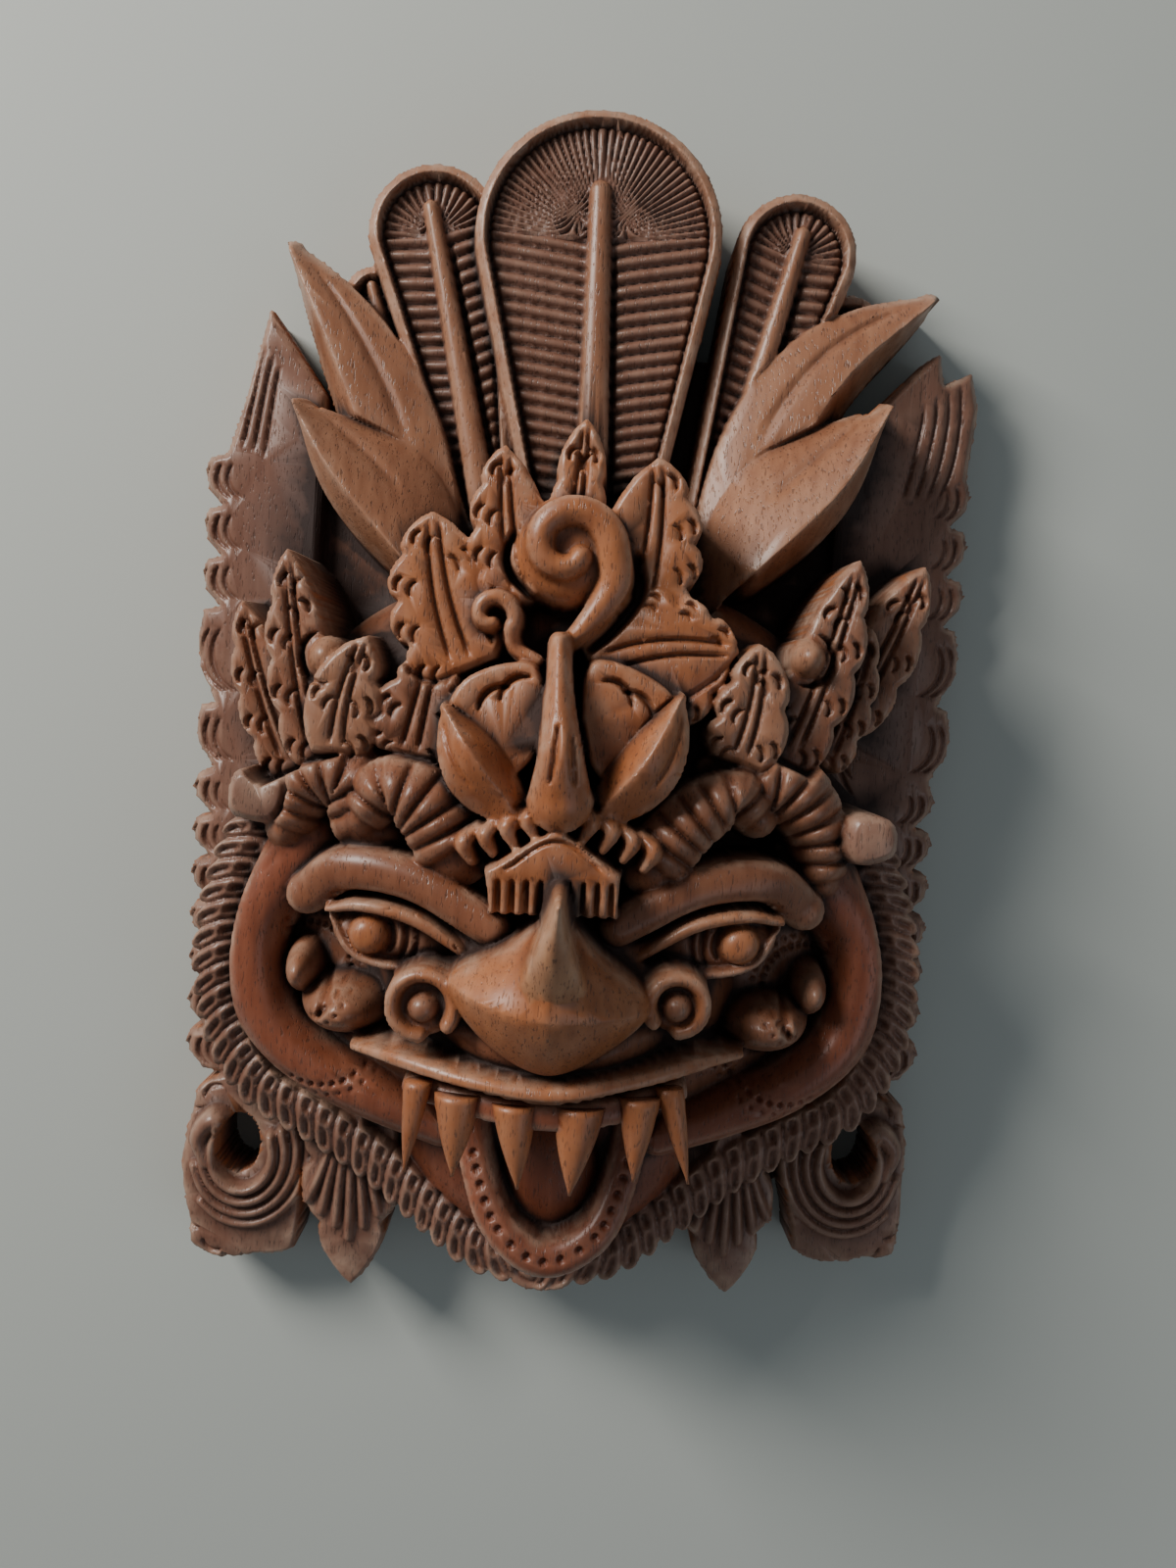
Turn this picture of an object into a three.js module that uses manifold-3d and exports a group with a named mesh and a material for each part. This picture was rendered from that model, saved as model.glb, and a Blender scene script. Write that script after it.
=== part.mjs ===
// Carved wooden barong mask, lying on its back: X across, +Y to the crown, +Z out of the face.
// One piece of wood, joined from carved shapes and then hollowed behind the face. Millimetres.
import * as THREE from 'three';
import { mergeVertices } from 'three/addons/utils/BufferGeometryUtils.js';
import Module from 'manifold-3d';

const wasm = await Module();
wasm.setup();

// ---------- driving dimensions ----------
const UNDER = -3; // carving that reaches the back runs past it and is planed off at 0
const BURIED = 4; // where the raised carving starts, inside the board
const BOARD_TOP = 12; // thickness of the outer border board
const CROWN_RIM = 33; // front of the middle feather
const FOREHEAD_TOP = 56; // plain wood behind the forehead ornament
const ORNAMENT_TOP = 66; // faces of the fronds on the forehead
const NOSE_TOP = 112; // tip of the beak
const POCKET = { x: 0, y: -18, halfWidth: 50, halfHeight: 66, depth: 36 };
const WELD = 1e-4;

const v2 = (x, y) => new THREE.Vector2(x, y);
const v3 = (x, y, z) => new THREE.Vector3(x, y, z);
const mirrorX = (points) => points.map(([x, ...rest]) => [-x, ...rest]);
const scallop = (count, t) => Math.abs(Math.sin(count * Math.PI * t));

// ---------- solids ----------
function toSolid(geometry) {
  const bare = geometry.index ? geometry : mergeVertices(geometry, WELD);
  bare.deleteAttribute('normal');
  bare.deleteAttribute('uv');
  const welded = mergeVertices(bare, WELD);
  const place = welded.attributes.position;
  const corners = welded.index.array;
  const kept = [];
  const [a, b, c] = [v3(0, 0, 0), v3(0, 0, 0), v3(0, 0, 0)];
  let volume = 0;
  for (let i = 0; i < corners.length; i += 3) {
    const [p, q, r] = [corners[i], corners[i + 1], corners[i + 2]];
    if (p !== q && q !== r && r !== p) {
      kept.push(p, q, r);
      a.fromBufferAttribute(place, p);
      b.fromBufferAttribute(place, q);
      c.fromBufferAttribute(place, r);
      volume += a.dot(b.cross(c));
    }
  }
  if (volume < 0) kept.reverse();
  const vertProperties = new Float32Array(place.array);
  const triVerts = new Uint32Array(kept);
  return new wasm.Manifold(new wasm.Mesh({ numProp: 3, vertProperties, triVerts }));
}

// A flat-faced carved shape from its outline, with a chamfer if asked; rise(x, y) lifts the face.
function slab(outline, top, { bottom = BURIED, edge = 0, rise = null } = {}) {
  const geometry = new THREE.ExtrudeGeometry(new THREE.Shape(outline), {
    depth: top - bottom - 2 * edge,
    bevelEnabled: edge > 0,
    bevelThickness: edge,
    bevelSize: edge,
    bevelOffset: -edge,
    bevelSegments: 1,
  });
  geometry.translate(0, 0, bottom + edge);
  if (rise) {
    const place = geometry.attributes.position;
    const middle = (top + bottom) / 2;
    for (let i = 0; i < place.count; i += 1) {
      const lifted = place.getZ(i) + rise(place.getX(i), place.getY(i));
      if (place.getZ(i) > middle) place.setZ(i, lifted);
    }
  }
  return toSolid(geometry);
}

// A skin through rings of points, closed at both ends.
function loft(rings) {
  const count = rings[0].length;
  const index = [];
  for (let k = 0; k + 1 < rings.length; k += 1) {
    for (let i = 0; i < count; i += 1) {
      const j = (i + 1) % count;
      const [p, q] = [k * count + i, k * count + j];
      index.push(p, q, q + count, p, q + count, p + count);
    }
  }
  const last = (rings.length - 1) * count;
  for (let i = 1; i + 1 < count; i += 1) {
    index.push(0, i + 1, i, last, last + i, last + i + 1);
  }
  const geometry = new THREE.BufferGeometry().setFromPoints(rings.flat());
  geometry.setIndex(index);
  return toSolid(geometry);
}

// A rounded mound on an oval foot; a larger power makes it flatter on top.
function mound(x, y, halfWidth, halfHeight, top, { bottom = BURIED, power = 2, steps = 5, around = 20 } = {}) {
  const profile = [v2(0, 0)];
  for (let i = 0; i <= steps; i += 1) {
    const angle = (i / steps) * (Math.PI / 2);
    const across = Math.cos(angle) ** (2 / power);
    const up = Math.sin(angle) ** (2 / power);
    profile.push(v2(i === steps ? 0 : across, up * (top - bottom)));
  }
  const geometry = new THREE.LatheGeometry(profile, around);
  geometry.rotateX(Math.PI / 2);
  geometry.scale(halfWidth, halfHeight, 1);
  geometry.translate(x, y, bottom);
  return toSolid(geometry);
}

function pathOf(points) {
  return new THREE.CatmullRomCurve3(points.map(([x, y, z]) => v3(x, y, z)), false, 'centripetal');
}

// A raised moulding that follows a path of [x, y, crest height]; half(t) is its half width.
// With a groove, every other section is that much lower and narrower, which makes rings across it.
function moulding(points, half, { steps = 8, drop = 4, shape = 3, groove = 0, bottom = BURIED } = {}) {
  const path = pathOf(points);
  const rings = [];
  for (let i = 0; i <= steps; i += 1) {
    const t = i / steps;
    const at = path.getPoint(t);
    const along = path.getTangent(t).setZ(0).normalize();
    const sunk = i % 2 ? 0 : groove;
    const wide = Math.max(half(t) - sunk, 0.25);
    at.z -= sunk;
    const ring = [];
    for (let k = 0; k < shape; k += 1) {
      const s = 1 - (2 * k) / (shape - 1);
      const z = at.z - drop * s * s;
      ring.push(v3(at.x - along.y * wide * s, at.y + along.x * wide * s, z));
    }
    ring.push(v3(at.x + along.y * wide, at.y - along.x * wide, bottom));
    ring.push(v3(at.x - along.y * wide, at.y + along.x * wide, bottom));
    rings.push(ring);
  }
  return loft(rings);
}

// A blade with its crest on the path, a broad face to one side and a steep wall to the other.
function blade(points, face, wall, { steps = 6, faceDrop = 6, wallDrop = 16, bottom = BURIED } = {}) {
  const path = pathOf(points);
  const rings = [];
  for (let i = 0; i <= steps; i += 1) {
    const t = i / steps;
    const at = path.getPoint(t);
    const along = path.getTangent(t).setZ(0).normalize();
    const swell = Math.sin(Math.PI * (0.04 + 0.72 * t)) ** 0.75;
    const out = face * swell;
    const back = wall * swell;
    const side = (reach, z) => v3(at.x - along.y * reach, at.y + along.x * reach, z);
    rings.push([
      side(out, bottom),
      side(-back, bottom),
      side(-back, Math.max(at.z - wallDrop, bottom + 1)),
      side(0, at.z),
      side(out * 0.55, at.z - faceDrop * 0.35),
      side(out, at.z - faceDrop),
    ]);
  }
  return loft(rings);
}

// ---------- outlines ----------
// A leaf from base to tip, bent sideways, with rounded lobes along either side.
function leaf(base, tip, { width, bend = 0, left = 0, right = 0, depth = 0.3, root = 0.14, blunt = 0.6 }) {
  const start = v2(...base);
  const end = v2(...tip);
  const axis = end.clone().sub(start);
  const normal = v2(-axis.y, axis.x).normalize();
  const middle = start.clone().add(end).multiplyScalar(0.5).addScaledVector(normal, bend);
  const spine = new THREE.QuadraticBezierCurve(start, middle, end);
  const sidePoints = (sign, lobes) => {
    const steps = lobes ? lobes * 3 : 4;
    const found = [];
    for (let i = 0; i < steps; i += 1) {
      const t = i / steps;
      const along = spine.getTangent(t);
      const swell = Math.sin(Math.PI * (root + (1 - root) * t)) ** blunt;
      const edge = lobes ? 1 - depth + depth * scallop(lobes, t + 0.5 / steps) : 1;
      const reach = sign * width * swell * edge;
      found.push(spine.getPoint(t).add(v2(-along.y, along.x).multiplyScalar(reach)));
    }
    return found;
  };
  return [...sidePoints(-1, right), end, ...sidePoints(1, left).reverse()];
}

// A closed crescent: the mark of one curved gouge cut.
function crescent(x, y, radius, from, to, width) {
  const steps = 4;
  const outer = [];
  const inner = [];
  for (let i = 0; i <= steps; i += 1) {
    const t = i / steps;
    const angle = THREE.MathUtils.degToRad(from + (to - from) * t);
    const slim = radius - width * Math.sin(Math.PI * t);
    outer.push(v2(x + Math.cos(angle) * radius, y + Math.sin(angle) * radius));
    if (i > 0 && i < steps) inner.push(v2(x + Math.cos(angle) * slim, y + Math.sin(angle) * slim));
  }
  return [...outer, ...inner.reverse()];
}

function ellipse(x, y, halfWidth, halfHeight, turn = 0) {
  const curve = new THREE.EllipseCurve(x, y, halfWidth, halfHeight, 0, 2 * Math.PI, false, turn);
  return curve.getPoints(12).slice(0, -1);
}

function rounded(points, samples) {
  const curve = new THREE.SplineCurve([...points, points[0]].map(([x, y]) => v2(x, y)));
  return curve.getPoints(samples).slice(0, -1);
}

const raised = [];
const cuts = [];
const CUT_TOP = NOSE_TOP + 20;

function gouge(x, y, radius, from, to, width, floor) {
  cuts.push(slab(crescent(x, y, radius, from, to, width), CUT_TOP, { bottom: floor }));
}

// ---------- the board and the head behind the carving ----------
const boardOutline = [
  [-76, 70], [-80, -90], [-52, -122], [-18, -138], [18, -138], [52, -122], [80, -90], [84, 74], [40, 96], [-36, 96],
];
raised.push(slab(boardOutline.map(([x, y]) => v2(x, y)), BOARD_TOP, { bottom: UNDER }));
raised.push(mound(0, -52, 79, 66, 50, { power: 2.8, around: 20, steps: 4 }));
raised.push(mound(0, -4, 70, 44, FOREHEAD_TOP, { power: 3, around: 16, steps: 3 }));
raised.push(mound(0, -62, 50, 36, 73, { power: 2.4, around: 18, steps: 4 }));
raised.push(mound(0, -70, 34, 16, 81, { power: 2.6, around: 14, steps: 4 }));
raised.push(mound(0, -106, 42, 34, 40, { power: 2.4, around: 16, steps: 4 }));

// ---------- crown feathers ----------
const RIM_WIDTH = 3.2;
const DISH = 5;
const BARB = 2.2;
const BARB_START = 1.3; // above the foot of the feather
const HEAD_SWEEP = 1.72; // radians of the rounded end, each side of the tip

function featherFrame({ base, head }) {
  const foot = v2(...base);
  const top = v2(...head);
  const up = top.clone().sub(foot).normalize();
  return { foot, top, up, side: v2(up.y, -up.x) };
}

function featherOutline(feather, inset, footInset) {
  const { foot, top, up, side } = featherFrame(feather);
  const radius = feather.radius - inset;
  const root = feather.root - footInset;
  foot.addScaledVector(up, footInset * 0.4);
  const points = [foot.clone().addScaledVector(side, root)];
  const steps = 8;
  for (let i = 0; i <= steps; i += 1) {
    const angle = HEAD_SWEEP * (1 - (2 * i) / steps);
    const out = top.clone().addScaledVector(side, Math.sin(angle) * radius);
    points.push(out.addScaledVector(up, Math.cos(angle) * radius));
  }
  points.push(foot.clone().addScaledVector(side, -root));
  return points;
}

// One side of the vane: straight barbs up the midrib, then a fan round its end.
function barbs(feather, sign, straight, fan) {
  const { foot, top, up, side } = featherFrame(feather);
  const floor = feather.rim - DISH;
  const far = feather.radius - RIM_WIDTH + 1;
  const rings = [];
  const steps = 2 * (straight + fan);
  for (let i = 0; i <= steps; i += 1) {
    const t = Math.min(i / (2 * straight), 1);
    const turn = Math.max(0, i / 2 - straight) / fan;
    const angle = HEAD_SWEEP * (1 - turn);
    const edge = top.clone().addScaledVector(side, sign * Math.sin(angle) * far);
    edge.addScaledVector(up, Math.cos(angle) * far);
    const start = foot.clone().addScaledVector(up, BARB_START);
    const root = start.clone().addScaledVector(side, sign * (feather.root - 0.7));
    const outer = turn > 0 ? edge : root.lerp(edge, t);
    const inner = start.lerp(top, t * 0.97);
    if (turn > 0) inner.addScaledVector(side, sign * 1.5 * (1 - turn));
    const high = floor + (i % 2 ? BARB : 0.3);
    rings.push([
      v3(inner.x, inner.y, floor - 2),
      v3(outer.x, outer.y, floor - 2),
      v3(outer.x, outer.y, high),
      v3(inner.x, inner.y, high),
    ]);
  }
  return loft(rings);
}

const feathers = [
  { base: [-36, 47], head: [-55, 106], radius: 8, root: 5, rim: 21, straight: 4, fan: 1, rib: 4 },
  { base: [46, 47], head: [67.5, 105], radius: 8, root: 6, rim: 21, straight: 4, fan: 1, rib: 4 },
  { base: [-22.5, 46], head: [-39.6, 121], radius: 17, root: 7, rim: 27, straight: 7, fan: 2, rib: 2.6 },
  { base: [33, 46], head: [51.6, 120], radius: 15.6, root: 8, rim: 27, straight: 7, fan: 2, rib: 2.6 },
  { base: [3, 45], head: [1.6, 120], radius: 31, root: 15, rim: CROWN_RIM, straight: 10, fan: 3, rib: 3 },
];
const vanes = feathers.map((feather) => {
  const lean = (x, y) => Math.min(0, (feather.head[1] - y) * 0.02);
  const dishBed = feather.rim - DISH;
  const rim = slab(featherOutline(feather, 0, 0), feather.rim, { bottom: UNDER, rise: lean });
  const dish = slab(featherOutline(feather, RIM_WIDTH, 2), CUT_TOP, { bottom: dishBed });
  const [footX, footY] = feather.base;
  const [headX, headY] = feather.head;
  const rib = [[footX, footY - 3, feather.rim + 1], [headX, headY + 9, feather.rim - 1]];
  const ribHalf = () => feather.rib;
  return wasm.Manifold.union([
    rim.subtract(dish),
    barbs(feather, -1, feather.straight, feather.fan),
    barbs(feather, 1, feather.straight, feather.fan),
    moulding(rib, ribHalf, { steps: 1, drop: 1 }),
  ]);
});
raised.push(...vanes);

// ---------- pointed petals beside the crown ----------
raised.push(blade([[-75.5, 114, 28], [-63, 88, 32], [-43, 42, 36]], -19, -6, { bottom: UNDER }));
raised.push(blade([[86.4, 109.5, 28], [63, 86, 32], [42, 46, 36]], 19, 6, { bottom: UNDER }));
raised.push(blade([[-70, 73, 44], [-59, 56, 47], [-41, 36, 48]], -20, -6, { faceDrop: 16 }));
raised.push(blade([[74, 79, 44], [62, 58, 47], [43, 38, 48]], 21, 6, { faceDrop: 16 }));

// ---------- side wings and the lobed outer border ----------
// Each lobe is [upper end, lower end, outermost x]; the outline runs down them from the wing tip.
function sideBorder(side, inner, wing, lobes) {
  const points = [[inner, wing[0][1] - 22], ...wing];
  for (const [high, low, edge] of lobes) {
    const fall = high - low;
    points.push([edge - 2, high], [edge, high - fall * 0.3], [edge - 1.4, high - fall * 0.72], [edge - 6, low]);
  }
  points.push([inner, lobes.at(-1)[1] - 4]);
  const thin = (x, y) => (y - 60) * 0.022 - Math.max(0, Math.abs(x) - 90) * 0.25;
  return slab(points.map(([x, y]) => v2(side * x, y)), BORDER_TOP, { bottom: UNDER, rise: thin });
}
const BORDER_TOP = 20;
const LOBE_PITCH = 13;
const SERRATION = 11.4;
const lobesDown = (count, start, pitch, edge) => {
  const found = [];
  for (let i = 0; i < count; i += 1) found.push([start - i * pitch, start - (i + 1) * pitch, edge]);
  return found;
};
raised.push(sideBorder(-1, 66, [[81.5, 102.5], [85, 88], [91.5, 65]], [
  ...lobesDown(3, 64, LOBE_PITCH, 97.8), [25, 0, 98.4], [0, -17, 98.4], ...lobesDown(7, -18, SERRATION, 98.6),
]));
raised.push(sideBorder(1, 66, [[87, 97], [91.5, 100], [93, 92], [100.6, 96], [103.2, 86], [101.5, 72]], [
  ...lobesDown(3, 68, LOBE_PITCH, 102.8), [29, 8, 102.4], [8, -12, 101.6], ...lobesDown(7, -13, SERRATION, 98.4),
]));

// ---------- lower corner scrolls, their holes and the fans beside them ----------
function scrollCorner(side, x, y, halfWidth, halfHeight) {
  const lobes = 10;
  const outline = [];
  const steps = lobes * 3;
  for (let i = 0; i < steps; i += 1) {
    const angle = (i / steps) * 2 * Math.PI;
    const reach = 0.93 + 0.07 * scallop(lobes / 2, i / steps + 0.25 / steps);
    const square = 1 / Math.max(Math.abs(Math.cos(angle)), Math.abs(Math.sin(angle))) ** 0.55;
    const out = reach * square;
    outline.push(v2(x + Math.cos(angle) * halfWidth * out, y + Math.sin(angle) * halfHeight * out));
  }
  raised.push(slab(outline, 19, { bottom: UNDER }));
  const hole = ellipse(x + side * 1, y + 7, 5.5, 8, side * -0.25);
  cuts.push(slab(hole, CUT_TOP, { bottom: UNDER }));
  const ring = (radius, from, sweep) => {
    const points = [];
    for (let i = 0; i <= 8; i += 1) {
      const angle = from + (sweep * i) / 8;
      const out = radius * (1 - 0.12 * (i / 8));
      points.push([x + side * Math.cos(angle) * out, y + 5 + Math.sin(angle) * out * 1.25, 24]);
    }
    return points;
  };
  raised.push(moulding(ring(9.5, 2.6, 4.6), () => 1.9, { steps: 7, drop: 3 }));
  raised.push(moulding(ring(14.6, 3.3, 3.2), (t) => 1.2 + t, { steps: 5, drop: 2.5 }));
  raised.push(mound(x + side * 6, y + 11, 4, 5, 26, { around: 8, steps: 2 }));
}
scrollCorner(-1, -80.5, -122, 16.5, 25.5);
scrollCorner(1, 79.5, -118, 16.5, 24);
const fanStyle = { width: 13.5, left: 3, right: 3, depth: 0.22, root: 0.2, blunt: 0.75 };
raised.push(slab(leaf([-52, -100], [-50.2, -150.8], fanStyle), 24, { bottom: UNDER }));
raised.push(slab(leaf([46, -100], [48.2, -149], fanStyle), 24, { bottom: UNDER }));
for (const [x, side] of [[-51, -1], [47, 1]]) {
  for (let i = -1; i <= 1; i += 1) {
    const path = [[x, -104, 28], [x + i * 5.2, -122, 27], [x + i * 8 - side, -138 + Math.abs(i) * 3.4, 25]];
    raised.push(moulding(path, (t) => 1.2 + 0.9 * t, { steps: 3, drop: 2.2 }));
  }
}

// ---------- cheeks and temples ----------
const cheek = [[-60, -30, 54], [-73, -52, 51], [-71, -73, 50], [-59, -86, 50], [-43, -94, 49], [-27, -101, 46]];
for (const path of [cheek, mirrorX(cheek)]) {
  const half = (t) => 9.5 - 3 * t;
  raised.push(moulding(path, half, { steps: 8, drop: 9, shape: 4 }));
}
for (const side of [-1, 1]) {
  raised.push(mound(side * 50, -70, 13, 9, 62, { around: 10, steps: 3 }));
  raised.push(moulding([[side * 30, -76, 74], [side * 40, -80, 66], [side * 48, -80, 60]], () => 3, { steps: 3 }));
}

// ---------- the ruff of overlapping curls round the face ----------
const RUFF_HALF = [
  [-74, -26, 44], [-81, -44, 41], [-84, -62, 38], [-82, -80, 35], [-74, -95, 32], [-60, -104, 30],
  [-45, -114, 28], [-30, -127, 27], [-16, -138, 26], [3, -142, 26],
];
const RUFF_INNER = 4.5; // half width towards the face
const RUFF_OUTER = 6.5; // half width towards the border, at the tip of a curl
const CURLS = 17; // on each side
const CURL_SLANT = 0.7; // how far a curl's tip trails behind its root, in curls
const CURL_NOTCH = 2; // depth between two curls
for (const points of [RUFF_HALF, mirrorX(RUFF_HALF)]) {
  const path = pathOf(points);
  const outward = -Math.sign(points[0][0]);
  const rings = [];
  const steps = CURLS * 2;
  for (let i = 0; i <= steps; i += 1) {
    const t = i / steps;
    const deep = i % 2 ? 0 : 1;
    const spot = (reach, trail, z) => {
      const s = THREE.MathUtils.clamp(t - trail / steps, 0, 1);
      const at = path.getPointAt(s);
      const along = path.getTangentAt(s).setZ(0).normalize();
      return v3(at.x + along.y * reach * outward, at.y - along.x * reach * outward, at.z + z);
    };
    const tip = -RUFF_OUTER + deep * CURL_NOTCH;
    rings.push([
      spot(RUFF_INNER, 0, -18),
      spot(RUFF_INNER, 0, 0.5),
      spot(0, CURL_SLANT, 3.2 - deep * CURL_NOTCH),
      spot(tip, CURL_SLANT * 2, 0.8 - deep * CURL_NOTCH),
      spot(tip, CURL_SLANT * 2, -18),
    ]);
  }
  raised.push(loft(rings));
}

// ---------- eyes ----------
const eyes = [
  { side: -1, x: -37, y: -50, z: 66 },
  { side: 1, x: 35, y: -48.5, z: 66 },
];
for (const { side, x, y, z } of eyes) {
  raised.push(mound(x, y, 15, 6.5, z, { around: 12, steps: 3 }));
  raised.push(mound(x + side * 5.5, y + 0.3, 4.6, 4.6, z + 3.4, { around: 10, steps: 2 }));
  const lid = (drop, height) => [
    [x + side * 15, y + 5, height - 4], [x + side * 7, y + 6.5, height],
    [x - side * 5, y + 3.5, height + 1], [x - side * 18, y - 5 + drop, height - 2],
  ];
  raised.push(moulding(lid(0, z + 4), () => 1.7, { steps: 5, drop: 2 }));
  raised.push(moulding([
    [x + side * 15, y + 3, z - 2], [x + side * 8, y - 5, z + 1],
    [x - side * 5, y - 7.5, z + 2], [x - side * 18, y - 5, z + 1],
  ], () => 1.4, { steps: 5, drop: 2 }));
  // The broad hood between lid and brow.
  raised.push(moulding([
    [x + side * 22, y + 7, z - 8], [x + side * 12, y + 15, z + 1],
    [x - side * 4, y + 13, z + 6], [x - side * 24, y + 3, z + 10],
  ], (t) => 5.5 - t, { steps: 6, drop: 4, shape: 4 }));
}

// ---------- ringed brows ----------
const brows = [
  { path: [[-24, -30, 70], [-31, -20, 72], [-40, -17, 70], [-46, -24, 64]], radius: 9, ribs: 6 },
  { path: [[-44, -26, 60], [-50, -15, 62], [-60, -17, 59], [-65, -28, 53]], radius: 9.5, ribs: 7 },
  { path: [[20, -31, 70], [28, -21, 72], [38, -15, 70], [44, -20, 64]], radius: 8, ribs: 6 },
  { path: [[38, -12, 62], [50, -12, 63], [59, -22, 58], [62, -35, 52]], radius: 9, ribs: 7 },
];
for (const { path, radius, ribs } of brows) {
  const half = (t) => radius * (1 - 0.35 * t * t);
  const crest = path.map(([x, y, z]) => [x, y, z + radius * 0.8]);
  raised.push(moulding(crest, half, { steps: ribs * 2, drop: radius, shape: 4, groove: 1.3 }));
}
raised.push(slab(rounded([[66, -18], [75, -19], [76, -27], [68, -30], [64, -25]], 10), 66, { edge: 1.6 }));
raised.push(slab(rounded([[-66, -14], [-77, -15], [-78, -25], [-68, -27], [-64, -20]], 10), 58, { edge: 1.6 }));

// ---------- beak nose ----------
const noseFoot = rounded([
  [-24, -57], [-16, -70], [-1, -77.5], [14, -70], [21, -60], [9, -49], [-0.5, -41], [-12, -49],
], 16);
const NOSE_TIP = { x: -0.3, y: -36 };
const noseRings = [];
const NOSE_STEPS = 4;
for (let k = 0; k <= NOSE_STEPS; k += 1) {
  const t = k / NOSE_STEPS;
  noseRings.push(noseFoot.map(({ x, y }) => {
    const draw = t * 0.93;
    const px = x + (NOSE_TIP.x - x) * draw;
    const py = y + (NOSE_TIP.y - y) * draw;
    const ridge = 3.5 * Math.exp(-((px / 5) ** 2)) * (1 - t) * t * 4;
    const lift = Math.sin((t * Math.PI) / 2) ** 0.9;
    return v3(px, py, 78 + (NOSE_TOP - 78) * lift + (k ? ridge : -20));
  }));
}
const nose = loft(noseRings);
for (const [x, y, side, size] of [[-29, -63.5, -1, 7], [26.5, -61, 1, 6.2]]) {
  const ring = [];
  for (let i = 0; i <= 10; i += 1) {
    const angle = -0.5 + (4.9 * i) / 10;
    ring.push([x - side * Math.cos(angle) * size, y + Math.sin(angle) * size, 81 - i * 0.3]);
  }
  raised.push(moulding(ring, () => 1.9, { steps: 9, drop: 2 }));
  raised.push(mound(x, y - 0.5, 3.6, 3.6, 80, { around: 8, steps: 2 }));
}

// ---------- mouth ----------
const mouth = [[-29, -84], [-33, -92], [-20, -106], [-10, -121], [1, -126], [12, -121], [20, -106], [32, -90], [27, -83]];
cuts.push(slab(mouth.map(([x, y]) => v2(x, y)), CUT_TOP, { bottom: 42 }));
const late = [nose]; // carving over the mouth, added after it is cut
late.push(moulding(
  [[-46, -77, 62], [-34, -77, 74], [-18, -79, 82], [0, -80.5, 85], [16, -78, 82], [32, -75, 74], [43, -75, 62]],
  () => 2.2, { steps: 8, drop: 1.5, bottom: 40 },
));
late.push(moulding(
  [[-30, -83, 72], [-14, -85, 78], [0, -86, 80], [14, -84.5, 78], [27, -81.5, 72]],
  () => 3.4, { steps: 5, drop: 1, bottom: 50 },
));
function fang(x, y, half, tipX, tipY, top) {
  const rings = [];
  const steps = 3;
  for (let i = 0; i <= steps; i += 1) {
    const t = i / steps;
    const reach = Math.max(half * (1 - t ** 1.5), 0.4);
    const [px, py] = [x + (tipX - x) * t, y + (tipY - y) * t];
    const z = top - 4 * t * t;
    const ring = [];
    for (let k = 0; k < 6; k += 1) {
      const angle = (k / 6) * 2 * Math.PI;
      ring.push(v3(px + Math.cos(angle) * reach, py, z - reach + Math.sin(angle) * reach));
    }
    rings.push(ring);
  }
  return loft(rings);
}
late.push(fang(-20.5, -83, 5, -21, -101.5, 80));
late.push(fang(-8, -84, 4.8, -6.5, -103, 82));
late.push(fang(6.5, -84, 5.6, 5, -104, 82));
late.push(fang(19.5, -82, 4.4, 19, -101, 80));
late.push(fang(-29.5, -81, 3, -32, -102, 77));
late.push(fang(26, -80, 3, 31.5, -102, 77));
late.push(moulding(
  [[-20, -94, 48], [-17, -108, 53], [-11, -121, 57], [0, -128, 58], [12, -122, 57], [18, -109, 53], [21, -94, 48]],
  () => 4.4, { steps: 10, drop: 3, shape: 4 },
));
late.push(mound(0.5, -111, 11, 15, 50, { around: 12, steps: 3 }));

// ---------- forehead ornament ----------
const plumes = [
  // [base, tip, width, bend, left lobes, right lobes, top]
  [[-1, 40], [0.8, 69], 7, 0, 2, 2, 63],
  [[-12, 26], [-17, 62], 10, 3, 4, 1, 64],
  [[-24, 10], [-33, 46.5], 13.5, 4, 4, 2, 63],
  [[14, 24], [17, 61], 12.5, -3, 1, 4, 64],
  [[4, 12], [38, 17], 14, 6, 5, 0, 66],
];
for (const [base, tip, width, bend, left, right, top] of plumes) {
  const outline = leaf(base, tip, { width, bend, left, right, depth: 0.2, root: 0.2 });
  raised.push(slab(outline, top));
}
const swirl = (x, y, start, end, turn, sweep, top) => {
  const points = [];
  for (let i = 0; i <= 12; i += 1) {
    const t = i / 12;
    const angle = turn + sweep * t;
    const out = start + (end - start) * t;
    points.push([x + Math.cos(angle) * out, y + Math.sin(angle) * out, top]);
  }
  return points;
};
const bigVolute = [[-3, 15, 69], [3, 22, 70], [8.5, 31, 71], ...swirl(-2, 38.5, 10, 4, 0, 4.9, 72)];
raised.push(moulding(bigVolute, (t) => 2.2 + 1.6 * Math.sin(Math.PI * t), { steps: 12, drop: 2, bottom: 30 }));
const smallVolute = [[-8, 13, 68], [-13, 16, 68], ...swirl(-18.3, 22.8, 5.4, 2.4, -0.6, 4.6, 70)];
raised.push(moulding(smallVolute, () => 2, { steps: 8, drop: 1.6, bottom: 30 }));
for (const side of [0, 1]) {
  gouge(-20 + side * 2, 51 - side * 7, 5, 110, 240, 2, 60);
  gouge(-35 + side * 5, 35 + side * 4, 4.6, 60, 190, 2, 59);
  gouge(20 - side * 2, 50 - side * 9, 6, -60, 60, 2, 60);
  gouge(15 + side * 9, 22 - side * 2, 6, 10, 120, 2, 62);
}

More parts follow.
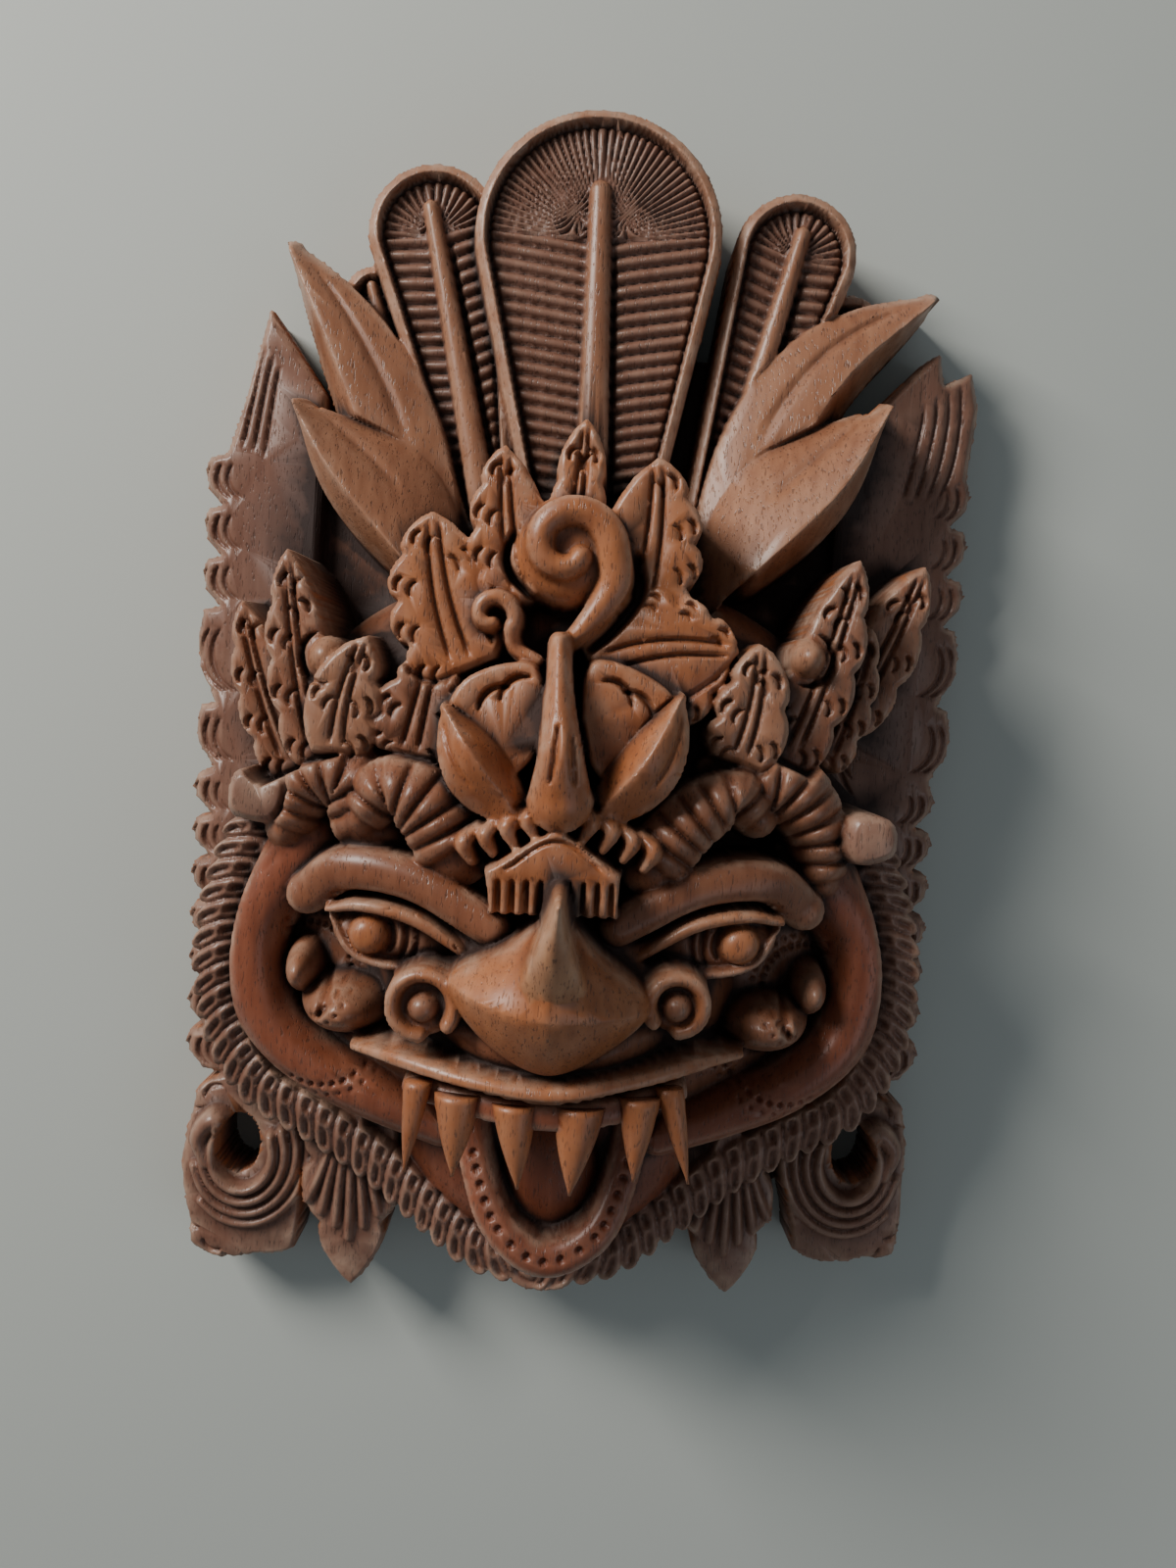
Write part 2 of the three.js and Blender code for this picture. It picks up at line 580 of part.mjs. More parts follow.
// ---------- jewel group between the brows ----------
const jewelTop = 84;
raised.push(slab(rounded([[-24, 8], [-8, 12], [-6, -6], [-20, -18], [-28, -8]], 14), 74, { bottom: 20 }));
raised.push(slab(rounded([[4, 13], [20, 9], [26, -2], [16, -16], [4, -8]], 14), 76, { bottom: 20 }));
raised.push(moulding(
  [[-2.9, 17, 80], [-2.4, 6, 86], [-1.6, -6, 91], [-1.2, -17, 88]],
  (t) => 2.8 + 5 * t * t, { steps: 5, drop: 5, shape: 4, bottom: 30 },
));
raised.push(blade([[-26.5, 1.5, 82], [-20, -8, 86], [-12, -18, 82]], -9, -5, { wallDrop: 10, faceDrop: 5 }));
raised.push(blade([[23.5, 6, 82], [17, -7, 86], [9, -17, 82]], 9, 5, { wallDrop: 10, faceDrop: 5 }));
for (const side of [-1, 1]) {
  for (let i = 0; i < 3; i += 1) {
    const x = -1 + side * (5 + i * 5.2);
    const path = [[x, -19 - i * 1.2, 81 - i], [x + side * 3, -22 - i * 1.4, 83 - i], [x + side * 1, -26 - i * 1.2, 81 - i]];
    raised.push(moulding(path, () => 2, { steps: 2, drop: 1.6, bottom: 40 }));
  }
}
const gable = [[-1.4, -22.5], [13, -32.5], [12.5, -42.5], [-15.5, -42.5], [-17, -32.5]];
raised.push(slab(gable.map(([x, y]) => v2(x, y)), jewelTop, { bottom: 30, rise: (x, y) => (y + 42) * 0.12 - 2 }));
const FLUTES = 6;
for (let i = 0; i < FLUTES; i += 1) {
  const x = -12.5 + i * 4.4;
  const groove = [v2(x - 0.6, -34), v2(x + 0.6, -34), v2(x + 0.9, -44), v2(x - 0.9, -44)];
  cuts.push(slab(groove, CUT_TOP, { bottom: jewelTop - 4 }));
}

// ---------- carved plaques beside the forehead ----------
const plaques = [
  // [base, tip, width, bend, left lobes, right lobes, top]
  [[-57, -12], [-66, 37], 8.5, 3, 4, 2, 60],
  [[-52, -10], [-46, 17.5], 9, 3, 1, 3, 67],
  [[-36, -10], [-31, 15], 11, 0, 3, 3, 66],
  [[-66, -16], [-80, 26], 8, 3, 4, 1, 44],
  [[50, -8], [65, 41], 9, -3, 2, 4, 60],
  [[38, -8], [42, 20], 9.5, -3, 3, 2, 68],
  [[22, 2], [36, 19], 8, 3, 3, 2, 66],
  [[60, -8], [70, 26], 7, -2, 0, 4, 54],
  [[66, 2], [84, 42], 9, -2, 2, 3, 46],
];
for (const [base, tip, width, bend, left, right, top] of plaques) {
  const outline = leaf(base, tip, { width, bend, left, right, depth: 0.2, root: 0.25 });
  raised.push(slab(outline, top));
}
for (const [x, y, top] of [[-56, 12, 66], [54, 17, 66]]) {
  raised.push(mound(x, y, 4.6, 5.2, top, { around: 10, steps: 2 }));
}
gouge(-54, 10, 9, 120, 230, 2.2, 54);
gouge(53, 14, 9.5, -60, 70, 2.2, 55);
gouge(-45, 2, 6, 0, 110, 1.8, 63);
gouge(39, 7, 6, 20, 130, 1.8, 64);

// ---------- one piece of wood ----------
const whole = wasm.Manifold.union(raised);
const pocketTop = POCKET.depth;
const pocket = mound(POCKET.x, POCKET.y, POCKET.halfWidth, POCKET.halfHeight, pocketTop, {
  bottom: UNDER, power: 3, steps: 4, around: 20,
});
cuts.push(pocket);
const planed = new THREE.BoxGeometry(400, 400, 20);
planed.translate(0, 0, -10);
cuts.push(toSolid(planed));
const opened = whole.subtract(wasm.Manifold.union(cuts));
const mask = opened.add(wasm.Manifold.union(late));

// ---------- finishing ----------
// Joined carvings leave slivers. A corner is drawn into a neighbour where the form hardly changes.
class Skin {
  constructor({ vertProperties, triVerts, numProp }) {
    this.corners = [];
    for (let i = 0; i < vertProperties.length; i += numProp) {
      this.corners.push(v3(vertProperties[i], vertProperties[i + 1], vertProperties[i + 2]));
    }
    this.around = this.corners.map(() => new Set());
    this.faces = [];
    for (let i = 0; i < triVerts.length; i += 3) {
      const face = [triVerts[i], triVerts[i + 1], triVerts[i + 2]];
      for (const corner of face) this.around[corner].add(this.faces.length);
      this.faces.push(face);
    }
  }

  neighbours(corner) {
    const found = new Set();
    for (const id of this.around[corner]) this.faces[id].forEach((other) => found.add(other));
    found.delete(corner);
    return found;
  }

  normal(face) {
    const [a, b, c] = face.map((corner) => this.corners[corner]);
    return b.clone().sub(a).cross(c.clone().sub(a));
  }

  // The least height of a face: how thin it is.
  height(face) {
    const [a, b, c] = face.map((corner) => this.corners[corner]);
    return this.normal(face).length() / Math.max(a.distanceTo(b), b.distanceTo(c), c.distanceTo(a));
  }

  // How far the surface moves if one corner is drawn into another; Infinity if it would fold.
  price(from, to) {
    const theirs = this.neighbours(to);
    const shared = [...this.neighbours(from)].filter((corner) => theirs.has(corner));
    if (shared.length !== 2) return Infinity;
    const step = this.corners[to].clone().sub(this.corners[from]);
    let worst = 0;
    for (const id of this.around[from]) {
      const face = this.faces[id];
      const before = this.normal(face).normalize();
      const thin = this.height(face) < THINNEST;
      if (!thin) worst = Math.max(worst, Math.abs(before.dot(step)));
      if (!face.includes(to)) {
        const moved = face.map((corner) => (corner === from ? to : corner));
        if (this.height(moved) < THINNEST) return Infinity;
        if (!thin && this.normal(moved).normalize().dot(before) < 0.4) return Infinity;
      }
    }
    return worst;
  }

  draw(from, to) {
    for (const id of [...this.around[from]]) {
      const face = this.faces[id];
      if (face.includes(to)) {
        for (const corner of face) this.around[corner].delete(id);
        this.faces[id] = null;
      } else {
        face[face.indexOf(from)] = to;
        this.around[to].add(id);
      }
    }
    this.around[from].clear();
  }

  // A face too thin to keep gives its long side up: the two faces on it share the other diagonal.
  turnThinFaces() {
    for (let id = 0; id < this.faces.length; id += 1) {
      const face = this.faces[id];
      if (face && this.height(face) < THINNEST) {
        const reach = (k) => this.corners[face[k]].distanceTo(this.corners[face[(k + 1) % 3]]);
        const longest = [0, 1, 2].sort((one, two) => reach(two) - reach(one))[0];
        const [a, b, c] = [0, 1, 2].map((k) => face[(longest + k) % 3]);
        const other = [...this.around[a]].find((found) => found !== id && this.around[b].has(found));
        const d = this.faces[other].find((corner) => corner !== a && corner !== b);
        if (!this.neighbours(c).has(d)) {
          this.faces[id] = [a, d, c];
          this.faces[other] = [d, b, c];
          this.around[b].delete(id);
          this.around[d].add(id);
          this.around[a].delete(other);
          this.around[c].add(other);
        }
      }
    }
  }

  tidy(shortEdge, shortMove, flatMove) {
    let drawn = 1;
    for (let pass = 0; pass < 12 && drawn > 0; pass += 1) {
      drawn = 0;
      const offers = [];
      this.corners.forEach((place, from) => {
        for (const to of this.neighbours(from)) {
          const limit = place.distanceTo(this.corners[to]) < shortEdge ? shortMove : flatMove;
          const cost = this.price(from, to);
          if (cost <= limit) offers.push([cost, from, to, limit]);
        }
      });
      offers.sort((one, two) => one[0] - two[0]);
      for (const [, from, to, limit] of offers) {
        if (this.neighbours(from).has(to) && this.price(from, to) <= limit) {
          this.draw(from, to);
          drawn += 1;
        }
      }
    }
  }

  geometry() {
    const made = new THREE.BufferGeometry().setFromPoints(this.corners);
    made.setIndex(this.faces.filter(Boolean).flat());
    return mergeVertices(made.toNonIndexed(), WELD);
  }
}
const THINNEST = 0.03;
const SHORT_EDGE = 0.6;
const SHORT_MOVE = 0.3;
const FLAT_MOVE = 0.07;

const skin = new Skin(mask.getMesh());
for (let round = 0; round < 3; round += 1) {
  skin.tidy(SHORT_EDGE, SHORT_MOVE, FLAT_MOVE);
  skin.turnThinFaces();
}
const geometry = skin.geometry();
geometry.computeBoundingBox();
const middle = geometry.boundingBox.getCenter(v3(0, 0, 0));
geometry.translate(-middle.x, -middle.y, -geometry.boundingBox.min.z);
geometry.computeVertexNormals();

const wood = new THREE.MeshStandardMaterial({ color: 0x9a6247, roughness: 0.5, metalness: 0 });
const maskMesh = new THREE.Mesh(geometry, wood);
maskMesh.name = 'mask';
const group = new THREE.Group();
group.add(maskMesh);
export default group;
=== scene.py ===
# Carved wooden barong mask lying on its back, seen from above. Relief laid out in millimetres:
# X across, Y to the crown, Z out of the face, on the same carving plan as the CAD solid.
import math

import bpy
import numpy as np
from mathutils import Matrix, Vector


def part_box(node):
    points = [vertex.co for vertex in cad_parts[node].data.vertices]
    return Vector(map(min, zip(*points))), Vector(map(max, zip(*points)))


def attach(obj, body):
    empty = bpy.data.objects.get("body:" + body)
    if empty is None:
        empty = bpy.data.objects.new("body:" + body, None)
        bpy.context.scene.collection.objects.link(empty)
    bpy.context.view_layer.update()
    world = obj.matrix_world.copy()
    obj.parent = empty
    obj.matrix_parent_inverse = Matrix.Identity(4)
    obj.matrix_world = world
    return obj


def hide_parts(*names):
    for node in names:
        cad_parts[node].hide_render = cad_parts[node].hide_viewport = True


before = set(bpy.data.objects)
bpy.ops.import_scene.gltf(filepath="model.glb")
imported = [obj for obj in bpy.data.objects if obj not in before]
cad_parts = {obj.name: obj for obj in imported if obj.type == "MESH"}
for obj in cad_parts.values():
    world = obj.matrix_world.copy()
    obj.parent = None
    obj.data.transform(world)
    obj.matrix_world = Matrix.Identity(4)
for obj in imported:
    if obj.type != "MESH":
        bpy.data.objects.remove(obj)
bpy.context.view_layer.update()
LOW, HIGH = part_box("mask")
PLAN_LOW = (-98.6, -150.9)
PLAN_HIGH = (103.2, 150.9)
MM = 0.001
SHIFT = Vector((LOW.x - PLAN_LOW[0] * MM, LOW.y - PLAN_LOW[1] * MM, LOW.z))
STEP = 0.5
EYE_HEIGHT = 0.36

# ---------- wood tones ----------
ORANGE = (0.46, 0.165, 0.062)
TAN = (0.40, 0.185, 0.100)
MAUVE = (0.270, 0.135, 0.092)
BROWN = (0.30, 0.115, 0.056)
RED = (0.29, 0.085, 0.040)
# Paler tone for the nose crest: a painted highlight.
PAINTED_HIGHLIGHT_TONE = (0.50, 0.25, 0.125)


def smooth(value):
    value = np.clip(value, 0.0, 1.0)
    return value * value * (3.0 - 2.0 * value)


def curve(points, spacing=1.2, closed=False):
    """Points along a centripetal-like spline through rows of any width."""
    rows = np.array(points, float)
    count = len(rows)
    found = []
    last = count if closed else count - 1
    for i in range(last):
        a, b = rows[i], rows[(i + 1) % count]
        before_a = rows[i - 1] if (closed or i > 0) else 2 * a - b
        after_b = rows[(i + 2) % count] if (closed or i + 2 < count) else 2 * b - a
        reach = np.hypot(*(b - a)[:2])
        steps = max(2, int(reach / spacing))
        for k in range(steps):
            t = k / steps
            found.append(
                0.5 * ((2 * a) + (b - before_a) * t + (2 * before_a - 5 * a + 4 * b - after_b) * t * t
                       + (3 * a - before_a - 3 * b + after_b) * t ** 3)
            )
    if not closed:
        found.append(rows[-1])
    return np.array(found)


def mirrored(points):
    return [(-row[0], *row[1:]) for row in points]


class Relief:
    """A height map of the front with the wood tone and the silhouette beside it."""

    def __init__(self):
        pad = 2 * STEP
        xs = np.arange(PLAN_LOW[0] - pad, PLAN_HIGH[0] + pad + STEP, STEP)
        ys = np.arange(PLAN_LOW[1] - pad, PLAN_HIGH[1] + pad + STEP, STEP)
        self.x, self.y = np.meshgrid(xs, ys)
        self.z = np.zeros_like(self.x)
        self.tone = np.ones(self.x.shape + (3,)) * np.array(BROWN)
        self.edge = np.full_like(self.x, 50.0)

    def window(self, low, high, pad):
        x0 = int(np.clip((low[0] - pad - self.x[0, 0]) / STEP, 0, self.x.shape[1] - 1))
        x1 = int(np.clip((high[0] + pad - self.x[0, 0]) / STEP + 2, 1, self.x.shape[1]))
        y0 = int(np.clip((low[1] - pad - self.y[0, 0]) / STEP, 0, self.x.shape[0] - 1))
        y1 = int(np.clip((high[1] + pad - self.y[0, 0]) / STEP + 2, 1, self.x.shape[0]))
        return np.s_[y0:y1, x0:x1]

    def outline(self, points, pad=3.0):
        """Window and signed distance to a closed outline; negative inside."""
        rows = np.array(points, float)[:, :2]
        part = self.window(rows.min(0), rows.max(0), pad)
        x, y = self.x[part], self.y[part]
        near = np.full_like(x, 1e6)
        odd = np.zeros(x.shape, bool)
        for a, b in zip(rows, np.roll(rows, -1, 0)):
            d = b - a
            length = max(float(d @ d), 1e-9)
            t = np.clip(((x - a[0]) * d[0] + (y - a[1]) * d[1]) / length, 0, 1)
            near = np.minimum(near, (x - a[0] - t * d[0]) ** 2 + (y - a[1] - t * d[1]) ** 2)
            if a[1] != b[1]:
                crosses = (y >= min(a[1], b[1])) & (y < max(a[1], b[1]))
                odd ^= crosses & (x < a[0] + (y - a[1]) * d[0] / d[1])
        near = np.sqrt(near)
        return part, np.where(odd, -near, near)

    def trail(self, points, pad=3.0, spacing=1.0):
        """Window, distance to a path, share of its length, signed side, and its width and height there."""
        rows = curve(points, spacing)
        reach = rows[:, 3].max() + pad
        part = self.window(rows[:, :2].min(0), rows[:, :2].max(0), reach)
        x, y = self.x[part], self.y[part]
        near = np.full_like(x, 1e6)
        share = np.zeros_like(x)
        side = np.zeros_like(x)
        width = np.full_like(x, 1.0)
        top = np.zeros_like(x)
        run = np.concatenate([[0], np.cumsum(np.hypot(*np.diff(rows[:, :2], axis=0).T))])
        for i in range(len(rows) - 1):
            a, b = rows[i], rows[i + 1]
            d = b - a
            length = max(float(d[0] ** 2 + d[1] ** 2), 1e-9)
            t = np.clip(((x - a[0]) * d[0] + (y - a[1]) * d[1]) / length, 0, 1)
            dx, dy = x - a[0] - t * d[0], y - a[1] - t * d[1]
            found = dx * dx + dy * dy
            closer = found < near
            near = np.where(closer, found, near)
            share = np.where(closer, (run[i] + t * (run[i + 1] - run[i])) / run[-1], share)
            side = np.where(closer, np.sign(d[0] * dy - d[1] * dx), side)
            width = np.where(closer, a[3] + t * d[3], width)
            top = np.where(closer, a[2] + t * d[2], top)
        near = np.sqrt(near)
        return part, near, share, side * near, width, top, run[-1]

    def put(self, part, distance, top, tone=None, ramp=1.0, cut_out=False):
        """Lays a shape over what is there, with a steep wall along its outline."""
        cover = smooth(0.5 - distance / ramp)
        self.z[part] = self.z[part] * (1 - cover) + top * cover
        if tone is not None:
            share = cover[..., None]
            self.tone[part] = self.tone[part] * (1 - share) + np.array(tone) * share
        if cut_out:
            self.edge[part] = np.minimum(self.edge[part], distance)

    def lay(self, part, distance, top, tone=None, ramp=1.0, cut_out=False):
        """Like put, but never lower than what is there."""
        cover = smooth(0.5 - distance / ramp)
        cover = cover * (top > self.z[part])
        self.z[part] = self.z[part] * (1 - cover) + top * cover
        if tone is not None:
            share = cover[..., None]
            self.tone[part] = self.tone[part] * (1 - share) + np.array(tone) * share
        if cut_out:
            self.edge[part] = np.minimum(self.edge[part], distance)

    def sink(self, part, cover, depth):
        self.z[part] -= np.clip(cover, 0, 1) * depth

    # ----- carved shapes -----
    def slab(self, points, top, tone=None, rounding=1.5, drop=1.0, cut_out=False, ramp=1.0):
        part, d = self.outline(points)
        self.put(part, d, top - drop * (1 - smooth(-d / rounding)), tone, ramp, cut_out)

    def mound(self, x, y, half_x, half_y, top, bottom=4.0, power=2.0, tone=None):
        part = self.window((x - half_x, y - half_y), (x + half_x, y + half_y), 1.0)
        r = ((self.x[part] - x) / half_x) ** 2 + ((self.y[part] - y) / half_y) ** 2
        r = np.clip(r, 0, 1) ** (power / 2)
        rise = bottom + (top - bottom) * (1 - r) ** (1 / power)
        higher = (r < 1) & (rise > self.z[part])
        self.z[part] = np.where(higher, rise, self.z[part])
        if tone is not None:
            self.tone[part] = np.where(higher[..., None], np.array(tone), self.tone[part])

    def band(self, points, drop=2.0, tone=None, lay=True, cut_out=False, ramp=1.0, power=2.0):
        """A rounded moulding along (x, y, z, half width)."""
        part, near, _, _, width, top, _ = self.trail(points)
        q = np.clip(near / np.maximum(width, 0.2), 0, 1.3)
        (self.lay if lay else self.put)(part, near - width, top - drop * q ** power, tone, ramp, cut_out)

    def groove(self, points, depth=1.2):
        """A V cut along (x, y, z unused, half width)."""
        part, near, share, _, width, _, _ = self.trail(points, pad=1.0)
        ends = smooth(share * 7) * smooth((1 - share) * 7)
        self.sink(part, smooth(1.15 - near / np.maximum(width, 0.2)) * ends, depth)

    def scratch(self, points, half=0.55, depth=0.9):
        self.groove([(x, y, 0, half) for x, y in points], depth)

    def crescent(self, x, y, radius, aim, spread=70, width=1.0, depth=1.6):
        """One curved gouge mark, bulging towards the aim in degrees."""
        points = []
        for i in range(7):
            t = i / 6
            angle = math.radians(aim + spread * (2 * t - 1))
            points.append((x + math.cos(angle) * radius, y + math.sin(angle) * radius, 0,
                           0.25 + width * math.sin(math.pi * t)))
        self.groove(points, depth)

    def dot(self, x, y, radius=0.8, depth=1.0):
        part = self.window((x, y), (x, y), radius + 1)
        d = np.hypot(self.x[part] - x, self.y[part] - y)
        self.sink(part, smooth(1.4 - d / radius), depth)


def leaf(base, tip, width, bend=0.0, left=0, right=0, depth=0.2, root=0.2, blunt=0.6):
    """Outline of a lobed leaf, its spine, and the middle of each lobe with the way it points."""
    start, end = np.array(base, float), np.array(tip, float)
    axis = end - start
    normal = np.array([-axis[1], axis[0]]) / np.hypot(*axis)
    middle = (start + end) / 2 + normal * bend

    def at(t):
        return (1 - t) ** 2 * start + 2 * t * (1 - t) * middle + t * t * end

    def across(t):
        d = 2 * (1 - t) * (middle - start) + 2 * t * (end - middle)
        return np.array([-d[1], d[0]]) / np.hypot(*d)

    def reach(t, lobes):
        swell = math.sin(math.pi * (root + (1 - root) * t)) ** blunt if t < 1 else 0.0
        notch = 1 - depth + depth * abs(math.sin(lobes * math.pi * t)) ** 0.6 if lobes else 1
        return width * swell * notch

    sides = {}
    marks = []
    for sign, lobes in ((-1, right), (1, left)):
        steps = max(8, lobes * 7)
        sides[sign] = [at(i / steps) + across(i / steps) * sign * reach(i / steps, lobes) for i in range(steps)]
        for k in range(lobes):
            t = (k + 0.5) / lobes
            if t < 0.92:
                out = across(t) * sign
                spot = at(t) + out * reach(t, lobes)
                along = at(min(t + 0.05, 1)) - at(t)
                aim = out + 0.55 * along / np.hypot(*along)
                size = 0.5 * np.hypot(*(at(min(1, (k + 1) / lobes)) - at(k / lobes)))
                marks.append((spot, math.degrees(math.atan2(aim[1], aim[0])), size))
    outline = sides[-1] + [end] + sides[1][::-1]
    spine = [at(t) for t in (0.05, 0.3, 0.55, 0.8, 0.95)]
    return outline, spine, marks


relief = Relief()


def frond(base, tip, width, bend, left, right, top, tone=ORANGE, veins=2, cut_out=False, **shape):
    """A carved leaf with a gouged crescent inside every lobe and long cuts along its spine."""
    outline, spine, marks = leaf(base, tip, width, bend, left, right, **shape)
    part, d = relief.outline(outline)
    relief.put(part, d, top - 1.4 * (1 - smooth(-d / 2.0)), tone, 1.0, cut_out)
    for spot, aim, size in marks:
        out = np.array([math.cos(math.radians(aim)), math.sin(math.radians(aim))])
        size = min(size, 4.6)
        middle = spot - out * (size * 0.95)
        relief.crescent(*middle, size * 0.42, aim, 75, 0.62, 2.0)
        inner = spot - out * (size * 1.75)
        relief.crescent(*inner, size * 0.5, aim, 70, 0.5, 1.5)
    for k in range(veins):
        lean = (k - (veins - 1) / 2) * width * 0.34
        normal = np.array([-(tip[1] - base[1]), tip[0] - base[0]]) / math.hypot(tip[0] - base[0], tip[1] - base[1])
        relief.groove([(*(p + normal * lean * (1 - 0.5 * i / 4)), 0, 0.75) for i, p in enumerate(spine)], 1.7)


# ---------- board and head ----------
relief.slab([(-76, 66), (-92, 40), (-92, -88), (-64, -122), (-18, -138), (18, -138), (64, -120), (92, -88),
             (94, 40), (84, 70), (40, 96), (-36, 96)], 14, BROWN, cut_out=True)
relief.mound(0, -52, 79, 66, 50, power=2.8, tone=BROWN)
relief.mound(0, -4, 70, 44, 56, power=3, tone=BROWN)
relief.mound(0, -62, 50, 36, 73, power=2.4, tone=BROWN)
relief.mound(0, -70, 34, 16, 81, power=2.6, tone=BROWN)
relief.mound(0, -106, 42, 34, 40, power=2.4, tone=RED)

# ---------- side borders ----------
LOBE_PITCH = 13
SERRATION = 11.4


def border(side, inner, wing, lobes):
    points = [(inner, wing[0][1] - 22)] + wing
    for high, low, edge in lobes:
        fall = high - low
        points += [(edge - 1.6, high), (edge, high - fall * 0.3), (edge - 0.8, high - fall * 0.62),
                   (edge - 5.2, low + 0.6)]
    points.append((inner, lobes[-1][1] - 4))
    part, d = relief.outline([(side * x, y) for x, y in points])
    x, y = relief.x[part], relief.y[part]
    thin = (y - 60) * 0.022 - np.maximum(0, np.abs(x) - 90) * 0.25
    relief.put(part, d, 20 + thin - 1.6 * (1 - smooth(-d / 2.4)), MAUVE, 1.0, True)
    for high, low, edge in lobes:
        fall = high - low
        for inset, depth in ((3.4, 1.5), (6.6, 1.3), (9.6, 1.0)):
            size = fall * 0.42
            relief.crescent(side * (edge - inset - size * 0.55), (high + low) / 2 + 0.8, size,
                            -18 if side > 0 else 198, 62, 0.7, depth)


def lobes_down(count, start, pitch, edge):
    return [(start - i * pitch, start - (i + 1) * pitch, edge) for i in range(count)]


border(-1, 66, [(81.5, 102.5), (85, 88), (91.5, 65)],
       lobes_down(3, 64, LOBE_PITCH, 97.8) + [(25, 0, 98.4), (0, -17, 98.4)] + lobes_down(7, -18, SERRATION, 98.6))
border(1, 66, [(87, 97), (91.5, 100), (93, 92), (100.6, 96), (103.2, 86), (101.5, 72)],
       lobes_down(3, 68, LOBE_PITCH, 102.8) + [(29, 8, 102.4), (8, -12, 101.6)] + lobes_down(7, -13, SERRATION, 98.4))
for k in range(4):
    relief.scratch([(-84 - 0.4 * k + k * 2.6, 96 - 3 * k), (-86 + k * 2.4, 84), (-90 + k * 2.8, 66 - k)], 0.6, 1.1)
    relief.scratch([(97 - k * 3.4, 93 - 2 * k), (97.5 - k * 3.4, 82), (96 - k * 3.6, 70), (92 - k * 3, 60)], 0.6, 1.1)
for side in (-1, 1):
    for k in range(5):
        relief.crescent(side * (80 + k * 2.2), 8 - 3 * k, 10 + 2 * k, 180 if side > 0 else 0, 45, 0.7, 1.2)

# ---------- crown feathers ----------
RIM_WIDTH = 3.2
DISH = 5.0
HEAD_SWEEP = 1.72
BARB_PITCH = 3.5
FEATHERS = [
    # base, head, radius, root, rim, midrib half width, tone
    ((-36, 47), (-55, 106), 8, 5, 21, 2.2, TAN),
    ((46, 47), (67.5, 105), 8, 6, 21, 2.2, TAN),
    ((-22.5, 46), (-39.6, 121), 17, 7, 27, 2.6, MAUVE),
    ((33, 46), (51.6, 120), 15.6, 8, 27, 2.6, MAUVE),
    ((3, 45), (1.6, 120), 31, 15, 33, 3.2, MAUVE),
]
for base, head, radius, root, rim, rib, tone in FEATHERS:
    foot, top = np.array(base, float), np.array(head, float)
    up = (top - foot) / np.hypot(*(top - foot))
    side = np.array([up[1], -up[0]])
    points = [foot + side * root]
    for i in range(41):
        angle = HEAD_SWEEP * (1 - i / 20)
        points.append(top + side * math.sin(angle) * radius + up * math.cos(angle) * radius)
    points.append(foot - side * root)
    part, d = relief.outline(points)
    x, y = relief.x[part], relief.y[part]
    v = (x - foot[0]) * up[0] + (y - foot[1]) * up[1]
    u = (x - foot[0]) * side[0] + (y - foot[1]) * side[1]
    run = float(np.hypot(*(top - foot)))
    turn = np.arctan2(np.maximum(v - run, 0), np.abs(u) + 1e-6)
    fan_pitch = BARB_PITCH * (0.55 if radius > 20 else 0.8)
    phase = np.where(v < run, (v - np.abs(u) * 0.16) / BARB_PITCH,
                     (run - np.abs(u) * 0.16 * (1 - turn / 1.57)) / BARB_PITCH + turn * radius * 0.8 / fan_pitch)
    wave = np.abs(2 * (phase - np.floor(phase)) - 1)
    ridge = 1.9 * (1 - wave ** 2.2)
    lean = np.minimum(0, (head[1] - y) * 0.02)
    inside = -d - RIM_WIDTH
    bed = rim - DISH + ridge * smooth(inside / 1.2) - 1.2 * (1 - smooth(inside / 1.6))
    face = np.where(inside > 0, bed, rim - 1.6 * np.clip((-inside / RIM_WIDTH), 0, 1) ** 2)
    blend = smooth(inside / 0.8 + 0.5)
    face = (rim + lean - 1.4 * smooth((-inside) / RIM_WIDTH)) * (1 - blend) + bed * blend
    relief.put(part, d, face, tone, 1.0, True)
    rim_cover = smooth(0.5 - d) * (1 - blend)
    relief.tone[part] = relief.tone[part] * (1 - rim_cover[..., None]) + np.array(TAN) * rim_cover[..., None]
    foot_x, foot_y = base
    relief.band([(foot_x, foot_y - 3, rim + 1.5, rib + 1.2), (*(foot + up * run * 0.6), rim + 0.5, rib + 0.2),
                 (*(top + up * min(radius * 0.36, 12)), rim - 0.6, rib - 0.6)], 1.6, TAN)
    relief.groove([(*(foot + side * (rib + 1.6)), 0, 0.9), (*(foot + up * run * 0.5 + side * (rib + 1.1)), 0, 1.0),
                   (*(top + side * (rib + 0.6)), 0, 0.8)], 2.2)

# ---------- petals beside the crown ----------


def blade(points, face, wall, tone=TAN, face_drop=6.0, wall_drop=16.0, cut_out=False, scribe=True):
    """A blade with its crest on the path, a broad face to one side and a steep wall to the other."""
    rows = [(*p, max(abs(face), abs(wall))) for p in points]
    part, near, share, across, _, top, _ = relief.trail(rows)
    swell = np.sin(math.pi * np.clip(0.04 + 0.72 * share, 0, 1)) ** 0.75
    on_face = across * np.sign(face) > 0
    half = np.where(on_face, abs(face), abs(wall)) * swell
    q = near / np.maximum(half, 0.3)
    drop = np.where(on_face, face_drop * (0.6 * q ** 1.4 + 0.4 * q), wall_drop * q ** 1.2)
    height = np.maximum(top - drop, 5)
    if scribe:
        line = np.exp(-((q - 0.5) / 0.07) ** 2) * on_face * smooth((share - 0.05) * 8) * smooth((0.75 - share) * 6)
        height = height - 1.1 * line
    relief.put(part, near - half, height, tone, 1.0, cut_out)


